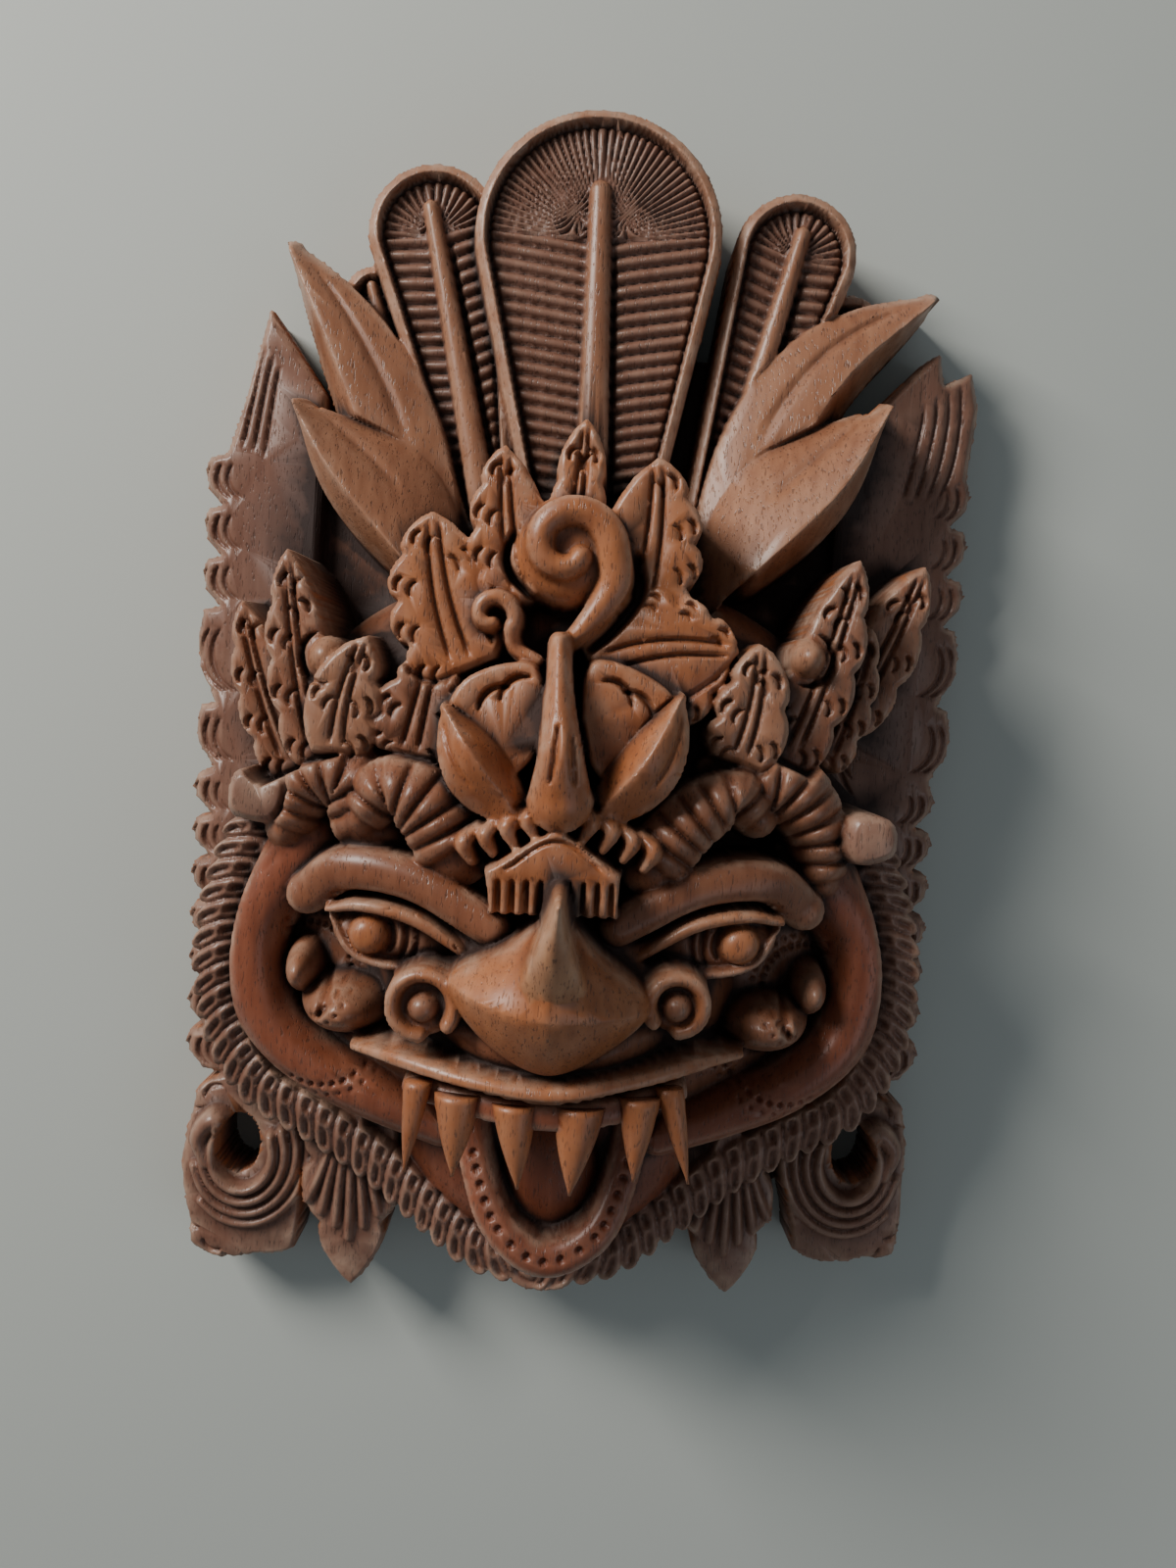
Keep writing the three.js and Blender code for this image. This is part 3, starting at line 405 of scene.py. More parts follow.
blade([(-75.5, 114, 28), (-63, 88, 32), (-43, 42, 36)], 19, 6, cut_out=True)
blade([(86.4, 109.5, 28), (63, 86, 32), (42, 46, 36)], -19, -6, cut_out=True)
blade([(-70, 73, 44), (-59, 56, 47), (-41, 36, 48)], 20, 6, face_drop=16)
blade([(74, 79, 44), (62, 58, 47), (43, 38, 48)], -21, -6, face_drop=16)

# ---------- lower corner scrolls and fans ----------


def scroll_corner(side, x, y, half_x, half_y):
    points = []
    for i in range(90):
        angle = i / 90 * 2 * math.pi
        reach = 0.93 + 0.07 * abs(math.sin(5 * math.pi * (i / 90 + 0.0083)))
        square = 1 / max(abs(math.cos(angle)), abs(math.sin(angle))) ** 0.55
        points.append((x + math.cos(angle) * half_x * reach * square, y + math.sin(angle) * half_y * reach * square))
    relief.slab(points, 19, MAUVE, cut_out=True)
    for k, radius in enumerate((8.6, 11.6, 14.6, 17.6)):
        rows = []
        for i in range(9):
            angle = 2.7 + (4.4 - k * 0.55) * i / 8
            out = radius * (1 - 0.12 * i / 8)
            rows.append((x + side * math.cos(angle) * out, y + 5 + math.sin(angle) * out * 1.22, 24 - k * 1.0, 1.7))
        relief.band(rows, 2.4, MAUVE)
    relief.band([(x + side * 9, y + 2, 24, 2.0), (x + side * 11, y + 9, 25, 2.6), (x + side * 7, y + 14, 26, 3.0),
                 (x + side * 4, y + 10, 25.5, 3.4)], 3, MAUVE)
    for i in range(7):
        angle = -1.5 + i * 0.42
        relief.crescent(x + side * math.cos(angle) * half_x * 0.86, y + math.sin(angle) * half_y * 0.86, 3.2,
                        math.degrees(angle) if side > 0 else 180 - math.degrees(angle), 70, 0.7, 1.3)
    for i in range(3):
        relief.crescent(x - side * (8 - 5 * i), y - half_y * 0.86, 2.8, 270 + side * 12, 65, 0.7, 1.3)
    hole = [(x + side + math.cos(a) * 5.5, y + 7 + math.sin(a) * 8) for a in np.linspace(0, 2 * math.pi, 25)[:-1]]
    return relief.outline(hole)


HOLES = [scroll_corner(-1, -80.5, -122, 16.5, 25.5), scroll_corner(1, 79.5, -118, 16.5, 24)]
FAN = {"width": 13.5, "left": 3, "right": 3, "depth": 0.22, "root": 0.2, "blunt": 0.75}
for base, tip in (((-52, -100), (-50.2, -150.8)), ((46, -100), (48.2, -149))):
    outline, _, _ = leaf(base, tip, **FAN)
    relief.slab(outline, 24, MAUVE, cut_out=True)
    for i in range(-3, 4):
        x = base[0] + 1
        rows = [(x + i * 0.6, -103, 28, 1.0), (x + i * 2.6, -120, 27.4, 1.5),
                (x + i * 3.7, -137 + abs(i) * 3.2, 25.4, 1.9)]
        relief.band(rows, 2.6, MAUVE)

# ---------- cheeks, ruff ----------
CHEEK = [(-60, -30, 54, 9.5), (-73, -52, 51, 8.4), (-71, -73, 50, 7.6), (-59, -86, 50, 7.2), (-43, -94, 49, 7),
         (-27, -101, 46, 6.5)]
for path in (CHEEK, mirrored(CHEEK)):
    relief.band(path, 8, RED, lay=True, power=2.4)
for side in (-1, 1):
    relief.mound(side * 50, -70, 15, 10, 63, power=2.2, tone=BROWN)
    relief.mound(side * 61, -62, 7, 10, 58, power=2.0, tone=BROWN)
    for cx, cy, radius, start, sweep, count in ((60, -62, 10, 60, 190, 17), (56, -74, 16, 165, 130, 15)):
        for i in range(count):
            angle = math.radians(start + sweep * i / (count - 1))
            relief.dot(side * (cx - math.cos(angle) * -radius), cy + math.sin(angle) * radius, 0.75, 1.3)
            relief.dot(side * (cx - math.cos(angle + 0.1) * -(radius + 2.6)), cy + math.sin(angle + 0.1) * (radius + 2.6), 0.6, 1.0)
    relief.crescent(side * 60, -67, 6.5, 0 if side < 0 else 180, 55, 1.5, 2.6)
    relief.groove([(side * 47, -78.5, 0, 0.5), (side * 42, -79.6, 0, 1.0), (side * 37, -79.2, 0, 0.5)], 2.4)

RUFF_HALF = [(-74, -26, 44), (-81, -44, 41), (-84, -62, 38), (-82, -80, 35), (-74, -95, 32), (-60, -104, 30),
             (-45, -114, 28), (-30, -127, 27), (-16, -138, 26), (3, -142, 26)]
RUFF_INNER = 4.8
RUFF_OUTER = 6.8
CURL_PITCH = 5.6
for half in (RUFF_HALF, mirrored(RUFF_HALF)):
    rows = curve([(*p, RUFF_OUTER + 1.0) for p in half], 1.0)
    run = np.concatenate([[0], np.cumsum(np.hypot(*np.diff(rows[:, :2], axis=0).T))])
    sign = 1 if half[0][0] < 0 else -1
    part, near, share, across, _, top, length = relief.trail([(*p, RUFF_OUTER) for p in half], pad=4)
    across = across * sign
    outer = across < 0
    q = np.where(outer, near / RUFF_OUTER, near / RUFF_INNER)
    place = (share * length + np.where(outer, 0.65, 0.35) * near * np.where(outer, -1, 1)) / CURL_PITCH
    cell = place - np.floor(place)
    wave = np.sin(math.pi * cell) ** 0.7
    edge_wave = RUFF_OUTER - 1.9 * (1 - wave)
    limit = np.where(outer, edge_wave, RUFF_INNER)
    hollow = np.exp(-((cell - 0.56) / 0.2) ** 2) * smooth((q + 0.15) * 2) * smooth((0.86 - q) * 4)
    height = top + 3.0 - 2.2 * q ** 2.2 - 2.4 * (1 - wave) - 2.3 * hollow
    relief.put(part, near - limit, height, MAUVE, 1.0, True)

# ---------- eyes and lids ----------
for side, x, y, z in ((-1, -37, -50, 66), (1, 35, -48.5, 66)):
    relief.band([(x + side * 22, y + 7, z - 6, 5.2), (x + side * 12, y + 14, z + 2, 5.4),
                 (x - side * 4, y + 12.5, z + 6, 5.2), (x - side * 22, y + 3, z + 8, 4.4)], 3.4, BROWN, power=2.6)
    relief.slab(curve([(x + side * 14.5, y + 4), (x + side * 6, y + 6), (x - side * 5, y + 3.5), (x - side * 16.5, y - 4),
                       (x - side * 6, y - 6.4), (x + side * 7, y - 6.2)], 1.2, True), 61.5, BROWN, rounding=1)
    part = relief.window((x, y), (x, y), 17)
    ball = ((relief.x[part] - x) / 15.5) ** 2 + ((relief.y[part] - y) / 6.6) ** 2
    relief.lay(part, (np.sqrt(ball) - 1) * 7, 61 + 5.5 * np.sqrt(np.clip(1 - ball, 0, 1)), BROWN)
    relief.mound(x + side * 6, y - 0.2, 4.8, 4.8, z + 3.6, bottom=z - 3, power=2.6, tone=ORANGE)
    for k, (radius, width) in enumerate(((5.6, 1.0), (8.6, 0.8), (11, 0.6))):
        relief.crescent(x + side * 6, y - 0.5, radius, 0 if side < 0 else 180, 48 - 5 * k, width, 1.9 - 0.3 * k)
    relief.band([(x + side * 15.5, y + 5, z + 0.5, 1.2), (x + side * 7, y + 6.5, z + 4, 1.7),
                 (x - side * 5, y + 3.8, z + 5, 1.8), (x - side * 18.5, y - 5.2, z + 3, 1.2)], 1.4, ORANGE)
    relief.band([(x + side * 15, y + 3.4, z - 1, 0.9), (x + side * 9, y - 5, z + 1, 1.3),
                 (x - side * 4, y - 7.6, z + 1.6, 1.3), (x - side * 18, y - 5.6, z + 1.4, 0.9)], 1.4, BROWN)
    relief.groove([(x + side * 17, y + 8, 0, 0.5), (x + side * 8, y + 9.4, 0, 0.8), (x - side * 5, y + 6.8, 0, 0.9),
                   (x - side * 20, y - 2.2, 0, 0.5)], 2.2)

# ---------- ringed brows ----------
BROWS = [
    ([(-24, -30, 70), (-31, -20, 72), (-40, -17, 70), (-46, -24, 64)], 9, 7),
    ([(-44, -26, 60), (-50, -15, 62), (-60, -17, 59), (-65, -28, 53)], 9.5, 8),
    ([(20, -31, 70), (28, -21, 72), (38, -15, 70), (44, -20, 64)], 8, 7),
    ([(38, -12, 62), (50, -12, 63), (59, -22, 58), (62, -35, 52)], 9, 8),
]
for path, radius, ribs in BROWS:
    part, near, share, _, width, top, length = relief.trail([(*p, radius) for p in path])
    half = radius * (1 - 0.35 * share * share)
    q = near / half
    wave = np.abs(np.sin(math.pi * ribs * share))
    height = top + radius * 0.72 - radius * 0.8 * np.clip(q, 0, 1.1) ** 2 - 2.6 * (1 - wave) ** 1.6
    relief.lay(part, near - half, height, BROWN)
for points, top in (([(66, -18), (75, -19), (76, -27), (68, -30), (64, -25)], 66),
                    ([(-66, -14), (-77, -15), (-78, -25), (-68, -27), (-64, -20)], 58)):
    relief.slab(curve(points, 1.0, True), top, MAUVE, rounding=2.4, drop=2)

# ---------- plaques beside the forehead ----------
PLAQUES = [
    # base, tip, width, bend, left lobes, right lobes, top, tone
    ((-66, -16), (-80, 26), 8, 3, 4, 1, 44, BROWN),
    ((66, 2), (84, 42), 9, -2, 2, 3, 46, BROWN),
    ((60, -8), (70, 26), 7, -2, 0, 4, 54, BROWN),
    ((-57, -12), (-66, 37), 8.5, 3, 4, 2, 60, BROWN),
    ((50, -8), (65, 41), 9, -3, 2, 4, 60, BROWN),
    ((-36, -10), (-31, 15), 11, 0, 3, 3, 66, BROWN),
    ((-52, -10), (-46, 17.5), 9, 3, 1, 3, 67, TAN),
    ((22, 2), (36, 19), 8, 3, 3, 2, 66, ORANGE),
    ((38, -8), (42, 20), 9.5, -3, 3, 2, 68, TAN),
]
for base, tip, width, bend, left, right, top, tone in PLAQUES:
    frond(base, tip, width, bend, left, right, top, tone, root=0.25)
for x, y, top in ((-56, 12, 66), (54, 17, 66)):
    relief.mound(x, y, 4.6, 5.2, top, bottom=54, tone=TAN)
    relief.crescent(x, y, 6.2, 200 if x < 0 else -20, 95, 1.0, 3.0)

# ---------- forehead fronds and volutes ----------
PLUMES = [
    ((-24, 10), (-33, 46.5), 13.5, 4, 4, 2, 63),
    ((14, 24), (17, 61), 12.5, -3, 1, 4, 64),
    ((4, 12), (38, 17), 14, 6, 5, 0, 66),
    ((-12, 26), (-17, 62), 10, 3, 4, 1, 64),
    ((-1, 40), (0.8, 69), 7, 0, 2, 2, 63),
]
for base, tip, width, bend, left, right, top in PLUMES:
    frond(base, tip, width, bend, left, right, top)


def swirl(x, y, start, end, turn, sweep, top, wide, thin):
    rows = []
    for i in range(17):
        t = i / 16
        angle = turn + sweep * t
        out = start + (end - start) * t
        rows.append((x + math.cos(angle) * out, y + math.sin(angle) * out, top, wide + (thin - wide) * t))
    return rows


relief.mound(-2, 38.5, 13, 13, 68, bottom=50, power=4, tone=ORANGE)
relief.band([(-3, 15, 69, 2.2), (3, 22, 70, 3.0), (8.5, 31, 71, 3.8)] + swirl(-2, 38.5, 10, 3.4, 0, 5.6, 72, 3.8, 2.6),
            2.2, ORANGE)
relief.band([(-8, 13, 68, 2), (-13, 16, 68, 2)] + swirl(-18.3, 22.8, 5.4, 1.8, -0.6, 5.4, 70, 2.1, 1.7), 1.6, ORANGE)
relief.groove([(13, 40, 0, 1.2), (14.5, 30, 0, 1.8), (9, 21, 0, 1.6), (2, 14.5, 0, 1.0)], 6)
relief.groove([(-14.5, 43, 0, 0.8), (-16, 35, 0, 1.4), (-11, 28.5, 0, 1.2), (-5, 25, 0, 0.8)], 6)

# ---------- jewel group ----------
relief.slab(curve([(-24, 8), (-8, 12), (-6, -6), (-20, -18), (-28, -8)], 1.2, True), 74, ORANGE)
relief.slab(curve([(4, 13), (20, 9), (26, -2), (16, -16), (4, -8)], 1.2, True), 76, ORANGE)
for side in (-1, 1):
    for k in range(2):
        relief.crescent(side * (9 + k * 4.6) - 1, 4 - k * 2.4, 5.4, 90 - side * 40, 60, 0.8, 2.4)
blade([(-26.5, 1.5, 82), (-20, -8, 86), (-12, -18, 82)], -9, -5, ORANGE, 5, 10)
blade([(23.5, 6, 82), (17, -7, 86), (9, -17, 82)], 9, 5, ORANGE, 5, 10)
relief.band([(-2.9, 17, 80, 2.8), (-2.4, 6, 86, 3.4), (-1.6, -6, 91, 4.9), (-1.2, -17, 88, 7.4)], 5, ORANGE, lay=False)
relief.groove([(-2.2, 0, 0, 0.5), (-2.6, -7, 0, 1.1), (-3.6, -14, 0, 0.5)], 1.6)
relief.groove([(0.6, -2, 0, 0.4), (1.2, -8, 0, 0.9), (1.8, -14, 0, 0.4)], 1.4)
for side in (-1, 1):
    for i in range(4):
        x = -1 + side * (4 + i * 4.6)
        relief.band([(x, -18.5 - i * 1.9, 81 - i, 1.4), (x + side * 2.8, -21.4 - i * 2, 83 - i, 2.1),
                     (x + side * 1, -25.6 - i * 1.9, 81 - i, 1.4)], 2, ORANGE)
GABLE = [(-1.4, -22.5), (13, -32.5), (12.5, -42.5), (-15.5, -42.5), (-17, -32.5)]
part, d = relief.outline(GABLE)
relief.put(part, d, 82 + (relief.y[part] + 42) * 0.12 - 1.0 * (1 - smooth(-d / 1.5)), ORANGE)
relief.scratch([(-13.5, -33), (-1.4, -25.6), (10.5, -33)], 0.7, 1.4)
for i in range(9):
    x = -13.6 + i * 3.05
    relief.groove([(x, -33.8, 0, 0.55), (x, -38, 0, 0.9), (x, -43.5, 0, 0.9)], 3.0)

# ---------- nose ----------
NOSE = curve([(-24, -57), (-16, -70), (-1, -77.5), (14, -70), (21, -60), (9, -49), (-0.5, -41), (-12, -49)], 1.2, True)
part, d = relief.outline(NOSE)
x, y = relief.x[part], relief.y[part]
tip_x, tip_y = -0.3, -37.5
ray = np.hypot(x - tip_x, y - tip_y)
share = np.clip(ray / np.maximum(ray - d, 1e-3), 0, 1)
share = np.where(d < 0, 1 - np.clip(-d / np.maximum(-d + ray * 0.55, 1e-3), 0, 1), 1.0)
height = 79 + 32 * (1 - share) ** 0.8
relief.put(part, d, height - 1.0 * (1 - smooth(-d / 1.2)), ORANGE)
# The nose crest band is tinted paler as a painted highlight.
relief.band([(-0.3, -35.8, 111.5, 1.4), (-0.8, -44, 108, 3.6), (-0.8, -54, 101, 6.6), (-0.8, -66, 90, 8.6)], 5.5, PAINTED_HIGHLIGHT_TONE,
            ramp=2.0)
for x, y, side, size in ((-29, -63.5, -1, 7), (26.5, -61, 1, 6.2)):
    relief.mound(x, y, size + 1, size + 1, 76, bottom=60, power=5, tone=BROWN)
    relief.mound(x, y - 0.5, 4.0, 4.0, 80, bottom=70, power=2.4, tone=BROWN)
    ring = []
    for i in range(15):
        angle = -0.6 + 5.2 * i / 14
        ring.append((x - side * math.cos(angle) * size, y + math.sin(angle) * size, 81 - i * 0.2, 1.9))
    relief.band(ring, 1.8, ORANGE)

# ---------- mouth ----------
MOUTH = [(-29, -84), (-33, -92), (-20, -106), (-10, -121), (1, -126), (12, -121), (20, -106), (32, -90), (27, -83)]
part, d = relief.outline(MOUTH)
relief.put(part, d, 42, RED, 1.4)
relief.mound(0.5, -111, 12, 15, 50, bottom=42, tone=RED)
JAW = [(-20, -94, 48, 4.4), (-17, -108, 53, 4.4), (-11, -121, 57, 4.6), (0, -128, 58, 4.8), (12, -122, 57, 4.6),
       (18, -109, 53, 4.4), (21, -94, 48, 4.2)]
relief.band(JAW, 3, RED, lay=False, power=2.6)
for i, row in enumerate(curve(JAW, 3.4)[3:-3]):
    relief.dot(row[0], row[1] + 0.4, 1.0, 1.5)
relief.band([(-46, -77, 63, 1.4), (-34, -77, 74, 2.1), (-18, -79, 82, 2.3), (0, -80.5, 85, 2.4), (16, -78, 82, 2.3),
             (32, -75, 74, 2.1), (43, -75, 63, 1.4)], 1.8, ORANGE, lay=False)
relief.groove([(-40, -78.2, 0, 0.4), (-18, -80.6, 0, 0.6), (0, -82, 0, 0.6), (16, -79.8, 0, 0.6), (38, -76.4, 0, 0.4)], 1.6)
relief.band([(-31, -83.5, 72, 3.0), (-14, -85.6, 78, 3.3), (0, -86.6, 80, 3.4), (14, -85.2, 78, 3.3),
             (28, -82, 72, 3.0)], 1.4, RED, lay=False)
FANGS = [
    # root x, y, half width, tip x, y, front height
    (-20.5, -83, 5, -21, -101.5, 80), (-8, -84, 4.8, -6.5, -103, 82), (6.5, -84, 5.6, 5, -104, 82),
    (19.5, -82, 4.4, 19, -101, 80), (-29.5, -81, 3, -32, -102, 77), (26, -80, 3, 31.5, -102, 77),
]

# ---------- hole edges, crevice stain and painted shade ---
for part, d in HOLES:
    relief.edge[part] = np.maximum(relief.edge[part], -d)


def blurred(grid, radius_mm):
    size = max(1, int(round(radius_mm / STEP)))
    kernel = np.exp(-0.5 * (np.arange(-2 * size, 2 * size + 1) / size) ** 2)
    kernel /= kernel.sum()
    for axis in (0, 1):
        padded = np.pad(grid, [(2 * size, 2 * size) if k == axis else (0, 0) for k in (0, 1)], "edge")
        total = 0
        for i, weight in enumerate(kernel):
            cut = [slice(None), slice(None)]
            cut[axis] = slice(i, i + grid.shape[axis])
            total = total + weight * padded[tuple(cut)]
        grid = total
    return grid


# Darkness in cuts and recesses comes from how far a point sits below its blurred surroundings. It is partly the mask's
# real dark stain in the cuts and partly painted shade where less light falls.
solid_z = np.where(relief.edge < 0, relief.z, 0)
fine = blurred(solid_z, 0.9) - solid_z
broad = blurred(solid_z, 3.2) - solid_z
crevice_stain_and_shade = np.clip(fine / 1.3, 0, 1) * 0.65 + np.clip(broad / 7.0, 0, 1) * 0.6
worn = np.clip(-fine / 1.2, 0, 1)
crevice_stain_and_shade = np.clip(blurred(np.clip(crevice_stain_and_shade, 0, 1), 0.3) * 1.25, 0, 1)

# ---------- from the height map to one closed carving ----------
POCKET = {"x": 0, "y": -18, "half_x": 50, "half_y": 66, "depth": 36}
WALL = 5.0


def sample(grid, x, y):
    """Reads a grid between its points."""
    fx = np.clip((x - relief.x[0, 0]) / STEP, 0, grid.shape[1] - 1.001)
    fy = np.clip((y - relief.y[0, 0]) / STEP, 0, grid.shape[0] - 1.001)
    ix, iy = fx.astype(int), fy.astype(int)
    tx, ty = fx - ix, fy - iy
    if grid.ndim == 3:
        tx, ty = tx[:, None], ty[:, None]
    low = grid[iy, ix] * (1 - tx) + grid[iy, ix + 1] * tx
    high = grid[iy + 1, ix] * (1 - tx) + grid[iy + 1, ix + 1] * tx
    return low * (1 - ty) + high * ty


def carving():
    """Vertices (mm) and faces of the front, the hollowed back and the rim that joins them."""
    edge = relief.edge
    inside = edge < 0.15 * STEP
    cells = inside[:-1, :-1] & inside[1:, :-1] & inside[:-1, 1:] & inside[1:, 1:]
    for _ in range(3):  # a cell with a free corner on both sides would touch only at a point
        count = np.zeros(inside.shape, int)
        for sy, sx in ((0, 0), (1, 0), (0, 1), (1, 1)):
            count[sy:sy + cells.shape[0], sx:sx + cells.shape[1]] += cells
        crossed = np.zeros(inside.shape, bool)
        crossed[1:-1, 1:-1] = (
            (cells[:-1, :-1] & cells[1:, 1:] & ~cells[1:, :-1] & ~cells[:-1, 1:])
            | (~cells[:-1, :-1] & ~cells[1:, 1:] & cells[1:, :-1] & cells[:-1, 1:])
        )
        bad = crossed
        cells &= ~(bad[:-1, :-1] | bad[1:, :-1] | bad[:-1, 1:] | bad[1:, 1:])
    used = np.zeros(inside.shape, bool)
    for sy, sx in ((0, 0), (1, 0), (0, 1), (1, 1)):
        used[sy:sy + cells.shape[0], sx:sx + cells.shape[1]] |= cells
    grad_y, grad_x = np.gradient(edge, STEP)
    size = np.maximum(np.hypot(grad_x, grad_y), 0.3)
    near = used & (np.abs(edge) < 0.8 * STEP)
    pull = np.where(near, np.clip(edge, -0.75 * STEP, 0.75 * STEP), 0)
    x = relief.x - grad_x / size * pull
    y = relief.y - grad_y / size * pull
    top = np.maximum(relief.z, 6.0)
    r = (np.abs((relief.x - POCKET["x"]) / POCKET["half_x"]) ** 2
         + np.abs((relief.y - POCKET["y"]) / POCKET["half_y"]) ** 2) ** 0.5
    floor = POCKET["depth"] * (1 - np.clip(r, 0, 1) ** 3) ** (1 / 3)
    floor = np.minimum(floor, top - WALL)
    index = np.full(inside.shape, -1)
    index[used] = np.arange(used.sum())
    count = int(used.sum())
    rows = np.concatenate([np.stack([x[used], y[used], top[used]], 1), np.stack([x[used], y[used], floor[used]], 1)])
    a, b = index[:-1, :-1][cells], index[:-1, 1:][cells]
    c, d = index[1:, 1:][cells], index[1:, :-1][cells]
    front = np.stack([a, b, c, d], 1)
    back = np.stack([a, d, c, b], 1) + count
    padded = np.pad(cells, 1)
    rim = []
    for dy, dx, one, two in ((0, -1, d, a), (0, 1, b, c), (-1, 0, a, b), (1, 0, c, d)):
        other = padded[1 + dy:1 + dy + cells.shape[0], 1 + dx:1 + dx + cells.shape[1]][cells]
        open_side = ~other
        p, q = one[open_side], two[open_side]
        rim.append(np.stack([p, p + count, q + count, q], 1))
    return rows, np.concatenate([front, back] + rim)


def to_frame(rows):
    return rows * MM + np.array(SHIFT)


def mesh_object(name, rows, faces):
    mesh = bpy.data.meshes.new(name)
    mesh.from_pydata(to_frame(rows).tolist(), [], faces.tolist())
    mesh.update()
    made = bpy.data.objects.new(name, mesh)
    bpy.context.scene.collection.objects.link(made)
    return made


FANG_SIDES = 20
FANG_RINGS = 14


def fang(x, y, half, tip_x, tip_y, top):
    """A pointed tooth, rooted behind the gum."""
    rows = []
    for i in range(FANG_RINGS + 1):
        t = i / FANG_RINGS
        reach = max(half * (1 - t ** 1.6) * (1.06 if t < 0.15 else 1), 0.35)
        for k in range(FANG_SIDES):
            angle = 2 * math.pi * k / FANG_SIDES
            rows.append((x + (tip_x - x) * t + math.cos(angle) * reach, y + (tip_y - y) * t,
                         top - 4 * t * t - reach + math.sin(angle) * reach * 1.1))
    faces = []
    for i in range(FANG_RINGS):
        for k in range(FANG_SIDES):
            j = (k + 1) % FANG_SIDES
            p = i * FANG_SIDES
            faces.append((p + k, p + k + FANG_SIDES, p + j + FANG_SIDES, p + j))
    base = len(rows)
    rows += [(x, y, top - half), (tip_x, tip_y, top - 4)]
    for k in range(FANG_SIDES):
        j = (k + 1) % FANG_SIDES
        faces.append((base, k, j, base))
        faces.append((base + 1, FANG_RINGS * FANG_SIDES + j, FANG_RINGS * FANG_SIDES + k, base + 1))
    return np.array(rows), [f[:3] for f in faces if f[0] in (base, base + 1)] + [f for f in faces if f[0] < base]


mask = mesh_object("mask_carving", *carving())
FACE_LIMIT = 170000
now = sum(len(p.vertices) - 2 for p in mask.data.polygons)
bpy.context.view_layer.objects.active = mask
thin = mask.modifiers.new("thin", "DECIMATE")
thin.ratio = min(1.0, FACE_LIMIT / now)
thin.use_collapse_triangulate = True
shaped = bpy.data.meshes.new_from_object(mask.evaluated_get(bpy.context.evaluated_depsgraph_get()))
mask.modifiers.clear()
mask.data = shaped

for number, row in enumerate(FANGS):
    rows, faces = fang(*row)
    mesh = bpy.data.meshes.new(f"fang_{number}")
    mesh.from_pydata(to_frame(rows).tolist(), [], faces)
    tooth = bpy.data.objects.new(f"fang_{number}", mesh)
    bpy.context.scene.collection.objects.link(tooth)
    bpy.context.view_layer.update()
    union = mask.modifiers.new("union", "BOOLEAN")
    union.operation = "UNION"
    union.solver = "MANIFOLD"
    union.object = tooth
    joined = bpy.data.meshes.new_from_object(mask.evaluated_get(bpy.context.evaluated_depsgraph_get()))
    mask.modifiers.clear()
    if len(joined.polygons) > 1000:
        mask.data = joined
    bpy.data.objects.remove(tooth)

# Tone, wear, and crevice darkening on the finished surface; the darkening is partly the real dark stain and partly
# painted shade.
mesh = mask.data
place = np.zeros(len(mesh.vertices) * 3)
mesh.vertices.foreach_get("co", place)
place = (place.reshape(-1, 3) - np.array(SHIFT)) / MM
height_here = sample(solid_z, place[:, 0], place[:, 1])
front = smooth((place[:, 2] - height_here + 6) / 4)
lifted = place[:, 2] > height_here + 1.0
stain_and_shade = np.where(lifted, 0.06, sample(crevice_stain_and_shade, place[:, 0], place[:, 1]))
# Walls below the front surface are darkened further as painted shade, and the hollow back gets a flat painted shade.
depth_down = np.clip((height_here - place[:, 2]) / 6, 0, 1)
stain_and_shade = np.clip(stain_and_shade + 0.5 * depth_down * (place[:, 2] > 0.5), 0, 1)
stain_and_shade = np.where(place[:, 2] < 36.5, np.where(depth_down > 0.99, 0.25, stain_and_shade), stain_and_shade)
tone = sample(relief.tone, place[:, 0], place[:, 1])
tone = np.where(lifted[:, None], np.array(ORANGE), tone)
wear = np.where(lifted, 0.2, sample(worn, place[:, 0], place[:, 1]))
colours = mesh.attributes.new("tone", "FLOAT_COLOR", "POINT")
colours.data.foreach_set("color", np.concatenate([tone, np.ones((len(tone), 1))], 1).ravel())
for name, values in (("stain_and_shade", stain_and_shade), ("wear", wear)):
    mesh.attributes.new(name, "FLOAT", "POINT").data.foreach_set("value", values.astype(np.float32))
mesh.polygons.foreach_set("use_smooth", np.ones(len(mesh.polygons), bool))

# ---------- wood ----------
wood = bpy.data.materials.new("varnished carved wood")
wood.use_nodes = True
tree = wood.node_tree
shader = tree.nodes["Principled BSDF"]


def node(kind, **inputs):
    made = tree.nodes.new(kind)
    for key, value in inputs.items():
        made.inputs[key.replace("_", " ")].default_value = value
    return made


def link(a, b):
    tree.links.new(a, b)


def attribute(name):
    made = tree.nodes.new("ShaderNodeAttribute")
    made.attribute_name = name
    return made


def mix(kind, factor, one, two):
    made = tree.nodes.new("ShaderNodeMix")
    made.data_type = "RGBA"
    made.blend_type = kind
    for socket, value in ((made.inputs[0], factor), (made.inputs[6], one), (made.inputs[7], two)):
        if isinstance(value, bpy.types.NodeSocket):
            link(value, socket)
        else:
            socket.default_value = value
    return made.outputs[2]


def ramp(source, low, high, first=0.0, last=1.0):
    made = tree.nodes.new("ShaderNodeMapRange")
    link(source, made.inputs[0])
    for k, value in enumerate((low, high, first, last)):
        made.inputs[k + 1].default_value = value
    return made.outputs[0]


where = tree.nodes.new("ShaderNodeTexCoord")


def stretched(scale_x, scale_y, scale_z, detail=3.0, size=1.0):
    made = tree.nodes.new("ShaderNodeMapping")
    link(where.outputs["Object"], made.inputs[0])
    made.inputs["Scale"].default_value = (scale_x, scale_y, scale_z)
    noise = tree.nodes.new("ShaderNodeTexNoise")
    link(made.outputs[0], noise.inputs["Vector"])
    noise.inputs["Scale"].default_value = size
    noise.inputs["Detail"].default_value = detail
    return noise.outputs["Fac"]


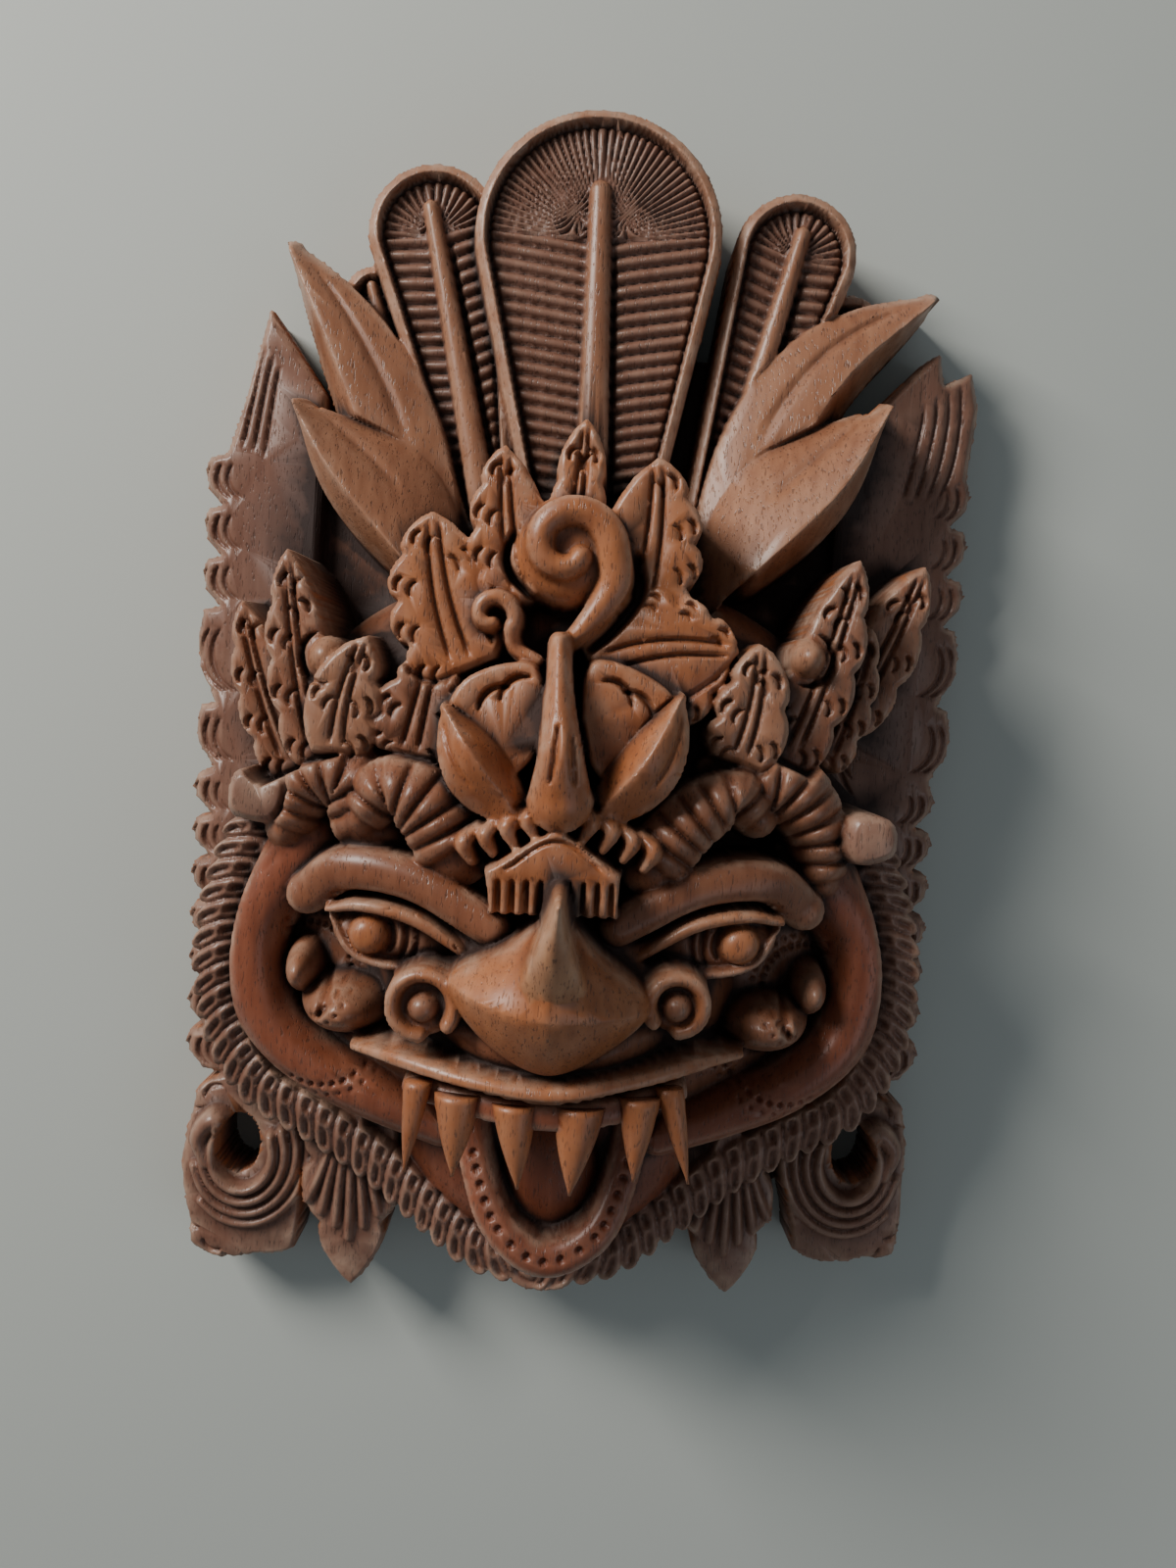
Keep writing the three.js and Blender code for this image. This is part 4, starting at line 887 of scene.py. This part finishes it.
pores = ramp(stretched(2400, 420, 900, 1.0), 0.60, 0.70)
streaks = ramp(stretched(500, 40, 260, 4.0), 0.3, 0.75)
patches = ramp(stretched(38, 30, 38, 4.0), 0.35, 0.68)
fine_dirt = ramp(stretched(220, 220, 220, 5.0), 0.35, 0.7)
colour = mix("MULTIPLY", streaks, attribute("tone").outputs["Color"], (0.70, 0.62, 0.58, 1))
colour = mix("MULTIPLY", patches, colour, (0.78, 0.70, 0.66, 1))
pore_share = tree.nodes.new("ShaderNodeMath")
pore_share.operation = "MULTIPLY"
link(pores, pore_share.inputs[0])
pore_share.inputs[1].default_value = 0.55
colour = mix("MIX", pore_share.outputs[0], colour, (0.045, 0.020, 0.014, 1))
# Near-black is mixed in by the stain and shade attribute: the real dark stain in the cuts plus painted shade in
# recesses and on walls.
stain_and_shade_share = tree.nodes.new("ShaderNodeMath")
stain_and_shade_share.operation = "MULTIPLY_ADD"
link(attribute("stain_and_shade").outputs["Fac"], stain_and_shade_share.inputs[0])
link(ramp(fine_dirt, 0, 1, 0.85, 1.2), stain_and_shade_share.inputs[1])
stain_and_shade_share.inputs[2].default_value = 0.0
colour = mix("MIX", ramp(stain_and_shade_share.outputs[0], 0.06, 0.82, 0.0, 0.95), colour, (0.020, 0.009, 0.007, 1))
wear_share = tree.nodes.new("ShaderNodeMath")
wear_share.operation = "MULTIPLY"
link(attribute("wear").outputs["Fac"], wear_share.inputs[0])
link(ramp(fine_dirt, 0, 1, 0.1, 0.5), wear_share.inputs[1])
colour = mix("MIX", wear_share.outputs[0], colour, (0.62, 0.42, 0.30, 1))
link(colour, shader.inputs["Base Color"])
link(ramp(stain_and_shade_share.outputs[0], 0.0, 0.8, 0.36, 0.75), shader.inputs["Roughness"])
shader.inputs["Specular IOR Level"].default_value = 0.5
bump = tree.nodes.new("ShaderNodeBump")
bump.inputs["Strength"].default_value = 0.35
bump.inputs["Distance"].default_value = 0.0003
link(ramp(pores, 0, 1, 1, 0), bump.inputs["Height"])
link(bump.outputs[0], shader.inputs["Normal"])
mesh.materials.clear()
mesh.materials.append(wood)
mesh.polygons.foreach_set("material_index", np.zeros(len(mesh.polygons), np.int32))

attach(mask, "root")
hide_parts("mask")

# ---------- floor, light and camera ----------
floor_mesh = bpy.data.meshes.new("floor")
floor_mesh.from_pydata([(-2, -2, 0), (2, -2, 0), (2, 2, 0), (-2, 2, 0)], [], [(0, 1, 2, 3)])
floor = bpy.data.objects.new("floor", floor_mesh)
floor.location.z = LOW.z - 0.0002
bpy.context.scene.collection.objects.link(floor)
paint = bpy.data.materials.new("pale floor")
paint.use_nodes = True
paint.node_tree.nodes["Principled BSDF"].inputs["Base Color"].default_value = (0.52, 0.54, 0.50, 1)
paint.node_tree.nodes["Principled BSDF"].inputs["Roughness"].default_value = 0.7
floor.data.materials.append(paint)


def lamp(name, place, power, size, colour):
    light = bpy.data.lights.new(name, "AREA")
    light.energy = power
    light.size = size
    light.color = colour
    made = bpy.data.objects.new(name, light)
    made.location = place
    made.rotation_euler = (Vector((0, 0, 0.03)) - Vector(place)).to_track_quat("-Z", "Y").to_euler()
    bpy.context.scene.collection.objects.link(made)
    return made


lamp("window", (-0.75, 0.62, 0.62), 15, 0.42, (1.0, 0.97, 0.93))
lamp("fill", (0.9, -0.5, 0.9), 1.6, 0.8, (0.80, 0.90, 1.0))
world = bpy.data.worlds.new("room")
world.use_nodes = True
world.node_tree.nodes["Background"].inputs[0].default_value = (0.62, 0.70, 0.76, 1)
world.node_tree.nodes["Background"].inputs[1].default_value = 0.22
bpy.context.scene.world = world

camera_data = bpy.data.cameras.new("camera")
camera_data.lens = 30
camera_data.sensor_width = 36
camera = bpy.data.objects.new("camera", camera_data)
camera.location = (SHIFT.x, SHIFT.y + 0.0002, EYE_HEIGHT)
TILT_X, TILT_Y = math.radians(0.816), math.radians(2.787)
ROLL = math.radians(2.78)
down = Vector((-math.tan(TILT_X), math.tan(TILT_Y), -1)).normalized()
z_axis = -down
y_axis = Vector((math.sin(ROLL), math.cos(ROLL), 0))
y_axis = (y_axis - y_axis.dot(z_axis) * z_axis).normalized()
x_axis = y_axis.cross(z_axis)
camera.rotation_euler = Matrix((x_axis, y_axis, z_axis)).to_euler()
bpy.context.scene.collection.objects.link(camera)
bpy.context.scene.camera = camera
